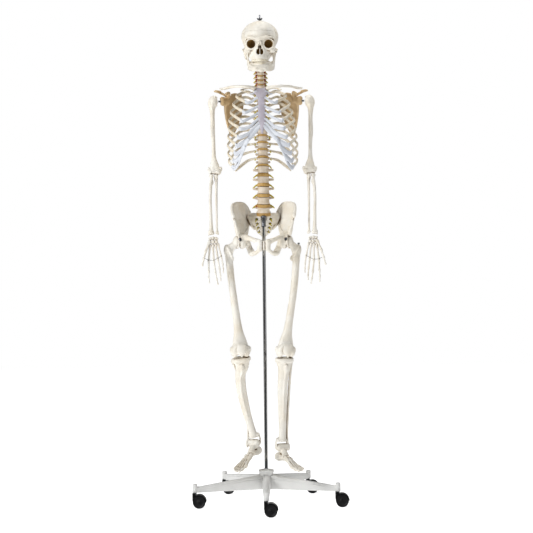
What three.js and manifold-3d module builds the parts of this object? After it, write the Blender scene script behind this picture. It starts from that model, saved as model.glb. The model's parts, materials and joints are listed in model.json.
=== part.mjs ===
// Teaching skeleton on a pelvis-mounted pole with a five-legged base on swivel casters.
// Millimetres, +Z up. The skeleton faces -Y, so its left side is +X.
// Bones are built on anatomical landmarks, measured from the pole's axis and the floor.
import * as THREE from "three";
import { mergeVertices } from "three/addons/utils/BufferGeometryUtils.js";
import Module from "manifold-3d";

const wasm = await Module();
wasm.setup();

// ---- Driving dimensions ----
const POLE_AXIS = [-16, 25.6]; // of the pole, from the middle of the object's box
const POLE = { radius: 6, bottom: 62, top: 1032 };
const BASE = { reach: 268, legs: 5, underside: 55, hubTop: 118, hubRadius: 24, tipRadius: 9.5, tipTop: 86 };
const CASTER = { radius: 23, tread: 9, gap: 15, trail: 15, stemRadius: 4, stemTop: 80, hoodWidth: 36 };
const GAP = 0.4; // between touching pieces
const DISC = 6; // half-height of the softer rim above each vertebral body

// Lower faces of the vertebral levels from L5 up to C3, as the pitch of each vertebra with its disc.
const SACRUM_TOP = 1045;
const LUMBAR_PITCH = [36.5, 36.6, 36.6, 36, 34.5]; // L5 to L1
const THORACIC_PITCH = [30, 28, 26.5, 25.4, 24.2, 23.2, 22.3, 21.4, 20.6, 19.8, 19, 18]; // T12 to T1
const CERVICAL_PITCH = [15.5, 15, 15, 15, 15, 15]; // C7 to C2
// Height and depth of the line through the vertebral bodies.
const SPINE_LINE = [
  [1045, 16], [1100, 5], [1136, 2], [1208, 8], [1240, 15], [1296, 28], [1345, 37],
  [1390, 41], [1430, 37], [1468, 26], [1494, 17], [1535, 5], [1565, 0], [1610, 1],
];

const LEAN = { from: 1250, slope: -0.02 }; // the trunk leans sideways above this height, in mm per mm

const SHOULDER = [172, 4, 1455]; // before the lean
// Joints of the arms. tilt leans the hand towards the thigh, in mm per 100 mm.
const ARMS = {
  right: { elbow: [177, 16, 1201], wrist: [178, -60, 970], tilt: 9 },
  left: { elbow: [171, 16, 1201], wrist: [173, -60, 970], tilt: 5 },
};
const LEGS = {
  right: { hip: [89, -35, 950], knee: [85, -62, 556], ankle: [46, 30, 216] },
  left: { hip: [83, -35, 950], knee: [71, -50, 553], ankle: [60, 8, 202] },
};
const KNEE_TURN = { right: 8, left: 16 };
const FOOT_TURN = { right: [24, 10], left: [24, 3] }; // sideways, and down at the toes
// How far the shin bows outwards, its top lies outwards, and the fibula's middle lies inwards and back.
const SHIN = {
  right: { bow: 11, top: 3, inward: 11, back: 12 },
  left: { bow: -3, top: 0, inward: 3, back: 0 },
};
const BOLT = { start: 17, head: 3, shoulder: 5, shoulderReach: 27, hip: 6, hipReach: 22 };
const HEAD = { side: -7, condyles: 1606, top: 1744, halfWidth: 67, front: -100, back: 86, cut: 1697, wall: 5 };
const ROD = 2.6; // radius of the rod through the head

// One row per rib from the first: angle at the back, side, front end. X is for the left side.
const RIB_ROWS = [
  { angle: [40, 36, 1505], side: [66, 2, 1497], front: [40, -38, 1478] },
  { angle: [52, 54, 1495], side: [88, 4, 1475], front: [56, -64, 1446] },
  { angle: [60, 67, 1476], side: [100, 2, 1447], front: [66, -86, 1410] },
  { angle: [66, 75, 1453], side: [109, -2, 1418], front: [74, -100, 1378] },
  { angle: [70, 80, 1429], side: [115, -6, 1389], front: [80, -108, 1350] },
  { angle: [74, 83, 1405], side: [118, -8, 1361], front: [87, -110, 1320] },
  { angle: [77, 84, 1379], side: [120, -10, 1333], front: [94, -104, 1292] },
  { angle: [79, 83, 1352], side: [121, -10, 1305], front: [101, -92, 1265] },
  { angle: [80, 79, 1324], side: [119, -6, 1277], front: [106, -76, 1240] },
  { angle: [79, 73, 1296], side: [115, 0, 1252], front: [109, -52, 1218] },
  { angle: [70, 64, 1268], side: [100, 32, 1243], front: [110, -6, 1214] },
  { angle: [55, 52, 1243], side: [82, 38, 1222], front: [100, 20, 1204] },
];
const STERNUM = { top: [0, -46, 1494], angle: [0, -68, 1459], end: [0, -108, 1352], tip: [0, -112, 1332] };
// Where each rib's cartilage meets the breastbone or the cartilage above.
const CARTILAGE_ENDS = [
  [20, -52, 1484], [18, -69, 1458], [15, -80, 1428], [15, -90, 1402], [15, -98, 1380], [14, -103, 1364],
  [10, -107, 1353],
  [52, -117, 1306], [64, -114, 1282], [76, -104, 1256],
];

const MATERIALS = {
  bone: new THREE.MeshStandardMaterial({ color: 0xe6dfcc, roughness: 0.55 }),
  cartilage: new THREE.MeshStandardMaterial({ color: 0xdfe3e6, roughness: 0.45 }),
  steel: new THREE.MeshStandardMaterial({ color: 0xa9acb0, roughness: 0.2, metalness: 1 }),
  base: new THREE.MeshStandardMaterial({ color: 0xe4e6e6, roughness: 0.4 }),
  black: new THREE.MeshStandardMaterial({ color: 0x1b1b1d, roughness: 0.5 }),
};

// ---- Solids ----
const vector = (p) => new THREE.Vector3(...p);
const mirrored = (p, side) => [side * p[0], p[1], p[2]];
const allMirrored = (points, side) => points.map((p) => mirrored(p, side));
const between = (a, b, share) => a.map((v, i) => v + (b[i] - v) * share);
const radians = THREE.MathUtils.degToRad;

function solid(geometry) {
  const bare = new THREE.BufferGeometry().setAttribute("position", geometry.getAttribute("position"));
  if (geometry.index) bare.setIndex(geometry.index);
  const merged = mergeVertices(bare.index ? bare.toNonIndexed() : bare, 1e-4);
  const vertProperties = merged.attributes.position.array;
  const triVerts = new Uint32Array(merged.index.array);
  return new wasm.Manifold(new wasm.Mesh({ numProp: 3, vertProperties, triVerts }));
}

const join = (solids) => solids.reduce((whole, next) => whole.add(next));

// The sideways lean of the trunk at a height, and a solid or a point of the trunk with that lean.
const sideways = (height) => LEAN.slope * Math.max(0, height - LEAN.from);
const leaning = (body) => body.warp((p) => {
  p[0] += sideways(p[2]);
});
const leaningPoint = ([x, y, z]) => [x + sideways(z), y, z];

function mesh(name, body, material) {
  const made = body.getMesh();
  const geometry = new THREE.BufferGeometry();
  geometry.setAttribute("position", new THREE.BufferAttribute(made.vertProperties, 3));
  geometry.setIndex(new THREE.BufferAttribute(made.triVerts, 1));
  const piece = new THREE.Mesh(geometry, MATERIALS[material]);
  piece.name = name;
  return piece;
}

// A bar along points, with a half-width along `across` and one square to it at each point.
function bar(points, radii, { sides = 6, steps = points.length, across = [1, 0, 0] } = {}) {
  const line = new THREE.CatmullRomCurve3(points.map(vector), false, "centripetal");
  const corner = 1 / Math.cos(Math.PI / sides); // so that the flats lie at the half-widths
  const geometry = new THREE.CylinderGeometry(corner, corner, 1, sides, steps, false, Math.PI / sides);
  const at = geometry.getAttribute("position");
  for (let i = 0; i < at.count; i++) {
    const t = Math.min(1, Math.max(0, 0.5 - at.getY(i)));
    const along = line.getTangent(t);
    const wide = vector(across).addScaledVector(along, -vector(across).dot(along)).normalize();
    const deep = along.clone().cross(wide);
    const place = t * (radii.length - 1);
    const step = Math.min(radii.length - 2, Math.floor(place));
    const [a, b] = between([radii[step]].flat(), [radii[step + 1]].flat(), place - step);
    const p = line.getPoint(t);
    p.addScaledVector(wide, at.getX(i) * a).addScaledVector(deep, at.getZ(i) * (b ?? a));
    at.setXYZ(i, p.x, p.y, p.z);
  }
  return solid(geometry);
}

function ball(centre, radii, sides = 8, rings = 6) {
  const [x, y, z] = [radii].flat().length === 1 ? [radii, radii, radii] : radii;
  const sphere = new THREE.SphereGeometry(1, sides, rings).rotateX(Math.PI / 2);
  return solid(sphere.scale(x, y, z).translate(...centre));
}

// An upright elliptical post.
function post(centre, halfWidth, halfDepth, bottom, top, sides = 8) {
  const geometry = new THREE.CylinderGeometry(1, 1, top - bottom, sides).rotateX(Math.PI / 2);
  return solid(geometry.scale(halfWidth, halfDepth, 1).translate(centre[0], centre[1], (top + bottom) / 2));
}

const block = (low, high) =>
  solid(new THREE.BoxGeometry(...high.map((v, i) => v - low[i])).translate(...between(low, high, 0.5)));

// A round bar from a point along X.
function acrossX(from, radius, length, sides) {
  const geometry = new THREE.CylinderGeometry(radius, radius, Math.abs(length), sides).rotateZ(Math.PI / 2);
  return solid(geometry.translate(from[0] + length / 2, from[1], from[2]));
}

// A curved plate ruled between two lines, with a thickness at its two edges and in its middle.
function plate(lowLine, highLine, thickness, { columns = 6, rows = 3, bulge = [0, 0, 0] } = {}) {
  const [low, high] = [lowLine, highLine].map((l) => new THREE.CatmullRomCurve3(l.map(vector)));
  const geometry = new THREE.BoxGeometry(1, 1, 1, columns, rows, 1);
  const at = geometry.getAttribute("position");
  const surface = (u, v) =>
    low.getPoint(u).lerp(high.getPoint(u), v).addScaledVector(vector(bulge), 4 * v * (1 - v));
  for (let i = 0; i < at.count; i++) {
    const [u, v] = [at.getX(i) + 0.5, at.getY(i) + 0.5];
    const alongU = surface(Math.min(1, u + 0.01), v).sub(surface(Math.max(0, u - 0.01), v));
    const alongV = surface(u, Math.min(1, v + 0.01)).sub(surface(u, Math.max(0, v - 0.01)));
    const normal = alongU.cross(alongV).normalize();
    const p = surface(u, v).addScaledVector(normal, at.getZ(i) * thickness);
    at.setXYZ(i, p.x, p.y, p.z);
  }
  return solid(geometry);
}

function lathe(profile, segments) {
  return new THREE.LatheGeometry(profile.map((p) => new THREE.Vector2(...p)), segments);
}

// ---- Stand ----
function tube(centre, inner, profile, sides) {
  const outline = [[inner, 0], ...profile, [inner, profile.at(-1)[1]], [inner, 0]];
  return solid(lathe(outline, sides).rotateX(Math.PI / 2).translate(...centre));
}

function baseLeg() {
  const { reach, underside, hubTop, tipRadius, tipTop } = BASE;
  const inner = 8;
  const [endTop, rootWidth, endWidth] = [76, 32, 16];
  const ridge = [[inner, 0, hubTop - 14], [reach, 0, endTop]];
  const leg = plate([[inner, 0, underside], [reach, 0, underside]], ridge, 1, { columns: 1, rows: 1 });
  const wide = leg.warp((p) => {
    p[1] *= rootWidth + ((endWidth - rootWidth) * p[0]) / reach;
  });
  const rise = tipTop - underside;
  const outline = [[0, 0], [tipRadius, 0], [tipRadius, rise - 3], [tipRadius - 3, rise], [0, rise]];
  const tip = solid(lathe(outline, 8).rotateX(Math.PI / 2).translate(reach, 0, underside));
  const bore = CASTER.stemRadius + GAP;
  return wide.add(tip).subtract(post([reach, 0], bore, bore, underside - 1, CASTER.stemTop + 1, 8));
}

// Each leg's angle around the pole.
const legTurn = (i) => -Math.PI / 2 + (i * 2 * Math.PI) / BASE.legs;

function starBase() {
  const { legs, underside, hubTop, hubRadius } = BASE;
  const parts = [];
  for (let i = 0; i < legs; i++) {
    parts.push(baseLeg().rotate([0, 0, THREE.MathUtils.radToDeg(legTurn(i))]));
  }
  const bottom = underside - 3;
  const [waist, flare] = [hubRadius - 2, hubRadius + 4];
  const lower = [[0, bottom], [waist, bottom], [waist, hubTop - 14]];
  const outline = [...lower, [flare, hubTop - 4], [flare, hubTop], [0, hubTop]];
  const hub = solid(lathe(outline, 10).rotateX(Math.PI / 2));
  const bore = post([0, 0], POLE.radius + GAP, POLE.radius + GAP, POLE.bottom - GAP, hubTop + 1, 12);
  return mesh("star_base", join([hub, ...parts]).subtract(bore), "base");
}

function stand() {
  const collar = tube([0, 0, BASE.hubTop + GAP], POLE.radius + GAP, [[13, 0], [13, 5], [10, 9]], 12);
  return [
    starBase(),
    mesh("pole", post([0, 0], POLE.radius, POLE.radius, POLE.bottom, POLE.top, 12), "steel"),
    mesh("pole_collar", collar, "base"),
  ];
}

// The hood over a caster's twin wheels, with the stem it swivels on. It trails towards +X.
function casterHood([x, y]) {
  const { radius, gap, trail, stemRadius, stemTop, hoodWidth } = CASTER;
  const [crown, clear] = [54.2, 1.6];
  const outline = new THREE.Shape();
  outline.moveTo(-9 - trail, crown);
  outline.lineTo(-9 - trail, radius + 2);
  outline.lineTo(-6, radius - 7);
  outline.lineTo(6, radius - 7);
  outline.lineTo(radius + 3, radius + 2);
  outline.absarc(0, radius, radius + 3, 0.08, 0.62 * Math.PI, false);
  const body = new THREE.ExtrudeGeometry(outline, { depth: hoodWidth, bevelEnabled: false, curveSegments: 5 });
  body.rotateX(Math.PI / 2).translate(x + trail, y + hoodWidth / 2, 0);
  const pocket = (side) => {
    const room = new THREE.CylinderGeometry(radius + clear, radius + clear, 30, 14);
    return solid(room.translate(x + trail, y + side * (gap / 2 - clear / 2 + 15), radius));
  };
  const axleHole = new THREE.CylinderGeometry(3 + GAP, 3 + GAP, gap + 8, 8).translate(x + trail, y, radius);
  const hollow = solid(body).subtract(pocket(1)).subtract(pocket(-1)).subtract(solid(axleHole));
  return hollow.add(post([x, y], stemRadius, stemRadius, 40, stemTop, 8));
}

// Both wheels of a caster on their axle, which lies along Y.
function casterWheels([x, y]) {
  const { radius, tread, gap, trail } = CASTER;
  const facets = 16;
  const rim = radius / Math.cos(Math.PI / facets); // so that a flat facet lies on the floor
  const out = gap / 2 + tread;
  const outline = [[0, -out], [rim, -out], [rim, -gap / 2], [3, -gap / 2], [3, gap / 2], [rim, gap / 2],
    [rim, out], [0, out]];
  return solid(lathe(outline, facets).rotateY(Math.PI / facets).translate(x + trail, y, radius));
}

function casters() {
  const made = [];
  for (let i = 0; i < BASE.legs; i++) {
    const at = [BASE.reach * Math.cos(legTurn(i)), BASE.reach * Math.sin(legTurn(i))];
    made.push(mesh(`caster_hood_${i + 1}`, casterHood(at), "black"));
    made.push(mesh(`caster_wheel_${i + 1}`, casterWheels(at), "black"));
  }
  return made;
}

// ---- Spine and chest ----
function spineDepth(height) {
  const row = Math.max(1, SPINE_LINE.findIndex((r) => r[0] >= height));
  const [[z0, y0], [z1, y1]] = [SPINE_LINE[row - 1], SPINE_LINE[row]];
  return y0 + ((y1 - y0) * (height - z0)) / (z1 - z0);
}

// {bottom, top, depth} of each vertebra from L5 up to C2.
function levels() {
  let bottom = SACRUM_TOP;
  return [...LUMBAR_PITCH, ...THORACIC_PITCH, ...CERVICAL_PITCH].map((pitch) => {
    const level = { bottom, top: bottom + pitch, depth: spineDepth(bottom + pitch / 2) };
    bottom += pitch;
    return level;
  });
}
const LEVELS = levels();
const lumbarLevels = LEVELS.slice(0, 5);
const thoracicLevels = LEVELS.slice(5, 17);
const cervicalLevels = LEVELS.slice(17);

// The stacked vertebral bodies and discs of some levels, in one piece.
function bodies(rows, shapeOf) {
  const profile = [[0, rows[0].bottom + GAP / 2]];
  rows.forEach((level, i) => {
    const { halfWidth } = shapeOf(i);
    profile.push([halfWidth, level.bottom + GAP / 2], [halfWidth, level.top - DISC]);
    if (i < rows.length - 1) {
      profile.push([halfWidth - 3, level.top - DISC + 1], [halfWidth - 3, level.top - 1]);
    }
  });
  const last = rows.at(-1);
  profile.push([shapeOf(rows.length - 1).halfWidth, last.top - GAP / 2], [0, last.top - GAP / 2]);
  const geometry = lathe(profile, 8).rotateX(Math.PI / 2).rotateZ(Math.PI / 8);
  const { halfWidth, halfDepth } = shapeOf(0);
  const at = geometry.getAttribute("position");
  for (let i = 0; i < at.count; i++) {
    at.setY(i, (at.getY(i) * halfDepth) / halfWidth + spineDepth(at.getZ(i)));
  }
  return solid(geometry);
}

// The spinous and transverse processes of one vertebra. wing is their half-span.
function processes({ bottom, top, depth }, { halfDepth, wing, wingBack, spine, drop, thick }) {
  const middle = (bottom + top) / 2;
  const arch = depth + halfDepth + 2;
  const tail = [[0, arch - 6, middle], [0, arch + 14 + spine, middle - drop]];
  const tip = (side) => [side * wing, arch + wingBack, middle + 1];
  const section = [[thick * 0.5, 2.5], [thick * 0.8, 6], [thick * 0.5, 2.5]];
  return [
    bar(tail, [[4, thick], [2.5, thick * 0.6]], { sides: 4, steps: 1 }),
    bar([tip(-1), [0, arch + 1, middle + 1], tip(1)], section, { sides: 4, steps: 2, across: [0, 0, 1] }),
  ];
}

function thoracicShape(number) { // 1 to 12
  const low = (number - 1) / 11;
  return {
    halfWidth: 13 + 5 * low,
    halfDepth: 9 + 5 * low,
    wing: 33 - 10 * low,
    wingBack: 14,
    spine: 22,
    drop: 6,
    thick: 5 + low,
  };
}

const ribBar = (number) => (number === 1 ? [2.2, 6] : [6.2 - 0.02 * number, 2.7]);

function ribPoints(number, side) {
  const { angle, side: flank, front } = RIB_ROWS[number - 1];
  const level = thoracicLevels[12 - number];
  const shape = thoracicShape(number);
  const head = [shape.halfWidth - 3, level.depth + shape.halfDepth * 0.5, level.top - 8];
  const neck = [shape.halfWidth + 10, level.depth + shape.halfDepth + 6, level.top - 7];
  const swing = between(flank, front, 0.5);
  const middle = [swing[0] + 11, swing[1] - 9, swing[2] + 2];
  const points = number > 10 ? [head, neck, angle, flank, front] : [head, neck, angle, flank, middle, front];
  return points.map((p) => mirrored(p, side));
}

function rib(number, side) {
  const section = ribBar(number);
  const across = number === 1 ? [0, 0.2, 1] : [0, 0, 1];
  return bar(ribPoints(number, side), [section, section], { sides: 4, steps: number > 10 ? 4 : 7, across });
}

function thoracicSegments() {
  return [1, 3, 5, 7, 9, 11].map((first) => {
    const pair = [first + 1, first]; // from below
    const rows = pair.map((n) => thoracicLevels[12 - n]);
    const shapes = pair.map(thoracicShape);
    const backs = rows.flatMap((level, i) => processes(level, shapes[i]));
    const ribs = pair.flatMap((n) => [rib(n, 1), rib(n, -1)]);
    const whole = join([bodies(rows, (i) => shapes[i]), ...backs, ...ribs]);
    return mesh(`thoracic_vertebrae_and_ribs_${first}_${first + 1}`, leaning(whole), "bone");
  });
}

function column(name, rows, shapeOf) {
  const backs = rows.flatMap((level, i) => processes(level, shapeOf(i)));
  return mesh(name, leaning(join([bodies(rows, shapeOf), ...backs])), "bone");
}

function spine() {
  const lumbarShape = { halfDepth: 17, wing: 37, wingBack: 10, spine: 18, drop: 3, thick: 9 };
  const neckShape = { halfWidth: 11, halfDepth: 8, wing: 22, wingBack: -2, spine: 8, drop: 3, thick: 4 };
  return [
    column("lumbar_spine", lumbarLevels, (i) => ({ halfWidth: 24 - i, ...lumbarShape })),
    column("cervical_spine", cervicalLevels, () => neckShape),
  ];
}

function atlas() {
  const height = cervicalLevels.at(-1).top + 5;
  const ring = new THREE.TorusGeometry(14, 4, 4, 8).scale(1.15, 1, 1.1).translate(0, 9, height);
  const wings = [-1, 1].map((s) =>
    bar([[s * 14, 8, height], [s * 34, 8, height]], [[4, 4], [3, 3]], { sides: 4, steps: 1, across: [0, 0, 1] }));
  return mesh("atlas", join([solid(ring), ...wings]), "bone");
}

// The cartilage from the front end of one rib to the breastbone or the cartilage above.
function ribCartilage(number, side) {
  const points = ribPoints(number, side).map(vector);
  const front = points.at(-1);
  const along = new THREE.CatmullRomCurve3(points, false, "centripetal").getTangent(1);
  const start = front.clone().addScaledVector(along, 1).toArray();
  const lead = front.clone().addScaledVector(along, number === 1 ? 5 : 12).toArray();
  const goal = mirrored(CARTILAGE_ENDS[number - 1], side);
  const inside = [goal[0] * (number < 8 ? 0.6 : 0.97), goal[1], goal[2]];
  const dip = between(lead, goal, 0.5);
  dip[2] -= number > 4 ? 9 : 2;
  const width = number === 1 ? [3, 6] : [5.5, 3];
  return bar([start, lead, dip, goal, inside], [width, width], { sides: 4, steps: 3, across: [0, 0, 1] });
}

function sternum() {
  const { top, angle, end, tip } = STERNUM;
  const line = [top, between(top, angle, 0.4), angle, between(angle, end, 0.5), end, tip];
  const bone = bar(line, [[22, 5], [26, 5], [17, 4.5], [17, 4.5], [13, 4], [4, 2.5]], { sides: 4, steps: 6 });
  const cartilages = CARTILAGE_ENDS.flatMap((_, i) => [ribCartilage(i + 1, 1), ribCartilage(i + 1, -1)]);
  return mesh("sternum_and_cartilages", leaning(join([bone, ...cartilages])), "cartilage");
}

// ---- Pelvis ----
function pelvicSocket() {
  const [inner, outer, length, wall] = [POLE.radius + GAP, 9, 40, 8];
  const depth = length - wall;
  const outline = [[0, length], [0, depth], [inner, depth], [inner, 0], [outer, 0], [outer, length], [0, length]];
  return solid(lathe(outline, 12).rotateX(Math.PI / 2).translate(0, 0, POLE.top - depth + 1));
}

function sacrum() {
  const line = [[0, 18, SACRUM_TOP - GAP], [0, 30, 1026], [0, 52, 1003], [0, 70, 976]];
  const body = bar(line, [[48, 15], [52, 13], [34, 9], [16, 6]], { sides: 8, steps: 4 });
  const wing = (s) =>
    bar([[s * 20, 26, 1028], [s * 44, 44, 1024]], [[20, 12], [16, 12]], { steps: 1, across: [0, 0.5, 1] });
  const top = post([0, 16], 26, 18, 1030, SACRUM_TOP - GAP, 10);
  const sleeve = post([0, 0], 9 + GAP, 9 + GAP, 900, POLE.top + 10, 12);
  const above = block([-90, -60, SACRUM_TOP - GAP], [90, 120, SACRUM_TOP + 40]);
  return join([body, wing(1), wing(-1), top]).subtract(sleeve).subtract(above);
}

function hipBone(name, s) {
  const hip = LEGS[name].hip;
  const at = (p) => mirrored(p, s);
  const line = (points, radii, options) => bar(points.map(at), radii, { sides: 5, ...options });
  const crest = [[110, -80, 1045], [112, -48, 1075], [97, -10, 1086], [70, 38, 1083], [52, 74, 1056]];
  const base = [[93, -62, 983], [92, -42, 968], [78, -20, 968], [66, 10, 975], [60, 62, 1018]];
  const [low, high] = s > 0 ? [base, crest] : [crest, base]; // so that the plate faces out on both sides
  const rim = line(crest, [[5, 6], [6, 7], [5, 7], [6, 7], [7, 8]], { steps: 5 });
  const upright = { across: [0, 0, 1], steps: 2 };
  const whole = join([
    plate(low.map(at), high.map(at), 7, { columns: 5, rows: 2, bulge: [s * 5, 8, 0] }),
    rim,
    ball(at([hip[0] - 10, hip[1] + 1, hip[2]]), [21, 30, 30]),
    line([[66, -48, 962], [42, -74, 956], [14, -88, 944]], [[10, 9], [8, 7], [8, 9]], upright),
    line([[13, -88, 950], [13, -86, 918]], [[9, 8], [8, 7]], { sides: 4, steps: 1 }),
    line([[14, -84, 922], [30, -56, 905], [42, -22, 904]], [[6, 6], [6, 6], [9, 10]], upright),
    line([[62, -18, 950], [54, 6, 932], [44, -6, 906]], [[16, 14], [11, 13], [11, 14]], { steps: 2 }),
    line([[70, -6, 968], [62, 30, 990], [58, 62, 1020]], [[12, 10], [9, 10], [8, 14]], { steps: 2 }),
  ]);
  return mesh(`${name}_hip_bone`, whole.subtract(ball(at(hip), 26.5)), "bone");
}

function pelvis() {
  const symphysis = bar([[0, -87, 948], [0, -85, 919]], [[3.2, 8], [3.2, 6]], { sides: 4, steps: 1 });
  const tailLine = [[0, 72, 970], [0, 67, 958], [0, 56, 948]];
  const tail = bar(tailLine, [[11, 5], [8, 4], [3, 2.5]], { sides: 5, steps: 2 });
  return [
    mesh("sacrum", sacrum(), "bone"),
    mesh("coccyx", tail, "bone"),
    mesh("pelvic_socket", pelvicSocket(), "steel"),
    hipBone("right", -1),
    hipBone("left", 1),
    mesh("pubic_symphysis", symphysis, "cartilage"),
  ];
}

// ---- Head ----
function braincase(inset) {
  const { top, halfWidth, front, back } = HEAD;
  const [middle, low] = [1688, 76]; // height of the widest part, and how far it reaches below that
  const geometry = new THREE.SphereGeometry(1, 12, 8).rotateX(Math.PI / 2);
  const at = geometry.getAttribute("position");
  const length = (back - front) / 2 - inset;
  for (let i = 0; i < at.count; i++) {
    const [x, y, z] = [at.getX(i), at.getY(i), at.getZ(i)];
    const wide = (halfWidth - inset) * (1 - 0.08 * Math.max(0, -y));
    at.setXYZ(i, x * wide, (back + front) / 2 + y * length, middle + z * ((z > 0 ? top - middle : low) - inset));
  }
  return solid(geometry);
}

function face() {
  const both = (make) => [make(1), make(-1)];
  const browLine = [[-52, -72, 1666], [-30, -94, 1671], [0, -98, 1668], [30, -94, 1671], [52, -72, 1666]];
  const brow = bar(browLine, [[6, 6], [7, 6], [6, 6]], { sides: 5, across: [0, 0, 1], steps: 4 });
  const middleLine = [[0, -80, 1664], [0, -82, 1630], [0, -82, 1602], [0, -84, 1588]];
  const middle = bar(middleLine, [[46, 18], [38, 18], [24, 20], [22, 20]], { sides: 8, steps: 3 });
  const cheek = (s) =>
    bar([[s * 34, -84, 1629], [s * 52, -68, 1631], [s * 60, -40, 1633], [s * 62, -12, 1640]],
      [[10, 7], [10, 5], [4, 3], [5, 3]], { sides: 5, across: [0, 0, 1], steps: 4 });
  const socketRim = (s) => bar([[s * 50, -74, 1664], [s * 52, -70, 1635]], [[5, 5], [6, 6]], { steps: 1 });
  const orbitLine = (s) => [[s * 30, -112, 1647], [s * 20, -54, 1650]];
  const orbit = (s) => bar(orbitLine(s), [[17, 17], [8, 8]], { sides: 8, steps: 1 });
  const noseLine = [[0, -112, 1636], [0, -112, 1616], [0, -110, 1610]];
  const nose = bar(noseLine, [[6, 30], [13, 26], [9, 22]], { sides: 5, steps: 2 });
  const throat = block([-90, -70, 1500], [90, 130, 1602]);
  const solids = [brow, middle.subtract(throat), ...both(cheek), ...both(socketRim)];
  return { solids, hollows: [...both(orbit), nose] };
}

function skull() {
  const { cut, wall, top, condyles } = HEAD;
  const above = block([-90, -130, cut], [90, 130, top + 60]);
  const under = block([-90, -130, 1500], [90, 130, cut - GAP]);
  const shell = braincase(0);
  const rodHole = post([0, 0], ROD + GAP, ROD + GAP, condyles - 40, top + 20, 10);
  const hollow = braincase(wall).add(rodHole);
  const mastoid = (s) => bar([[s * 50, 16, 1640], [s * 50, 12, 1610]], [[9, 10], [5, 5]], { sides: 5, steps: 1 });
  const condyle = (s) => ball([s * 14, 6, condyles + 7], [7, 11, 7]);
  const { solids, hollows } = face();
  const whole = join([shell.intersect(under), ...solids, mastoid(1), mastoid(-1), condyle(1), condyle(-1)]);
  const base = whole.subtract(join([hollow, ...hollows])).subtract(above.translate([0, 0, -GAP]));
  return [
    mesh("skull_base", base, "bone"),
    mesh("skull_cap", shell.intersect(above).subtract(hollow), "bone"),
    mesh("head_rod", post([0, 0], ROD, ROD, condyles + 10, top + 21, 10), "steel"),
    mesh("wing_nut", wingNut(top + 1.2), "steel"),
  ];
}

function wingNut(bottom) {
  const [hub, height] = [5, 7];
  const wingLine = (s) => [[s * 3, 0, bottom + 3], [s * 9.5, 0, bottom + 3.6]];
  const wing = (s) => bar(wingLine(s), [[2.6, 1.2], [3.6, 1.2]], { across: [0, 0, 1], steps: 1 });
  const bore = post([0, 0], ROD + GAP, ROD + GAP, bottom - 5, bottom + height + 5, 10);
  return join([post([0, 0], hub, hub, bottom, bottom + height, 10), wing(1), wing(-1)]).subtract(bore);
}

function mandible() {
  const ramus = [[52, -11, 1630], [49, -18, 1603], [46, -24, 1581]];
  const chin = [[46, -24, 1578], [38, -56, 1567], [22, -86, 1562], [0, -96, 1562]];
  const horn = [[48, -31, 1594], [47, -37, 1617]];
  const half = (s) => join([
    bar(allMirrored(ramus, s), [[3.5, 6], [3, 12], [4, 14]], { sides: 4 }),
    bar(allMirrored(chin, s), [[13, 5], [12, 5], [12, 6], [13, 7]], { sides: 4, across: [0, 0, 1], steps: 5 }),
    bar(allMirrored(horn, s), [[2.5, 7], [2, 3]], { sides: 4, steps: 1 }),
  ]);
  return mesh("mandible", join([half(1), half(-1)]), "bone");
}

// ---- Limbs ----
// Puts a piece made with its upper joint at the origin and its length down local -Z onto its landmarks.
function place(piece, from, to, hinge) {
  const up = vector(from).sub(vector(to)).normalize();
  const across = vector(hinge).addScaledVector(up, -vector(hinge).dot(up)).normalize();
  piece.quaternion.setFromRotationMatrix(new THREE.Matrix4().makeBasis(across, up.clone().cross(across), up));
  piece.position.set(...from);
  return piece;
}
const lengthOf = (from, to) => vector(from).distanceTo(vector(to));
const shoulderJoint = (s) => leaningPoint(mirrored(SHOULDER, s));

function scapula(s) {
  const at = (p) => mirrored(p, s);
  const medial = [[74, 74, 1484], [68, 88, 1450], [80, 98, 1400], [106, 96, 1342]];
  const lateral = [[104, 50, 1484], [126, 24, 1460], [129, 42, 1420], [113, 92, 1345]];
  const [low, high] = s > 0 ? [medial, lateral] : [lateral, medial]; // so that the plate faces out on both sides
  const ridge = [[72, 88, 1458], [106, 86, 1470], [140, 56, 1490], [160, 22, 1494]].map(at);
  return join([
    plate(low.map(at), high.map(at), 4, { columns: 5, rows: 2, bulge: [0, 4, 0] }),
    bar([[131, 12, 1446], [129, 34, 1420], [111, 92, 1346]].map(at), [[6, 6], [4, 4], [4, 4]], { sides: 4 }),
    bar([[124, 18, 1456], [142, 6, 1456]].map(at), [[10, 14], [11, 17]], { steps: 1, across: [0, 1, 0] }),
    bar(ridge, [[4, 4], [5, 9], [4, 8], [4, 9]], { sides: 4, across: [0, 0, 1], steps: 4 }),
    bar([[122, 26, 1462], [114, 0, 1484], [124, -20, 1479]].map(at), [[6, 6], [5, 5], [4, 4]], { sides: 5 }),
  ]);
}

function shoulderGirdle(name, s) {
  const line = [[27, -50, 1496], [62, -58, 1502], [102, -22, 1505], [130, -2, 1501], [143, 4, 1500]];
  const clavicle = bar(line.map((p) => mirrored(p, s)), [[8, 7], [5, 5], [5, 5], [4, 7], [4, 8]],
    { across: [0, 0, 1], sides: 5, steps: 6 });
  const blade = scapula(s).subtract(ball(mirrored(SHOULDER, s), 25.5)).subtract(clavicle);
  return [
    mesh(`${name}_scapula`, leaning(blade), "bone"),
    mesh(`${name}_clavicle`, leaning(clavicle), "bone"),
  ];
}

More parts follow.
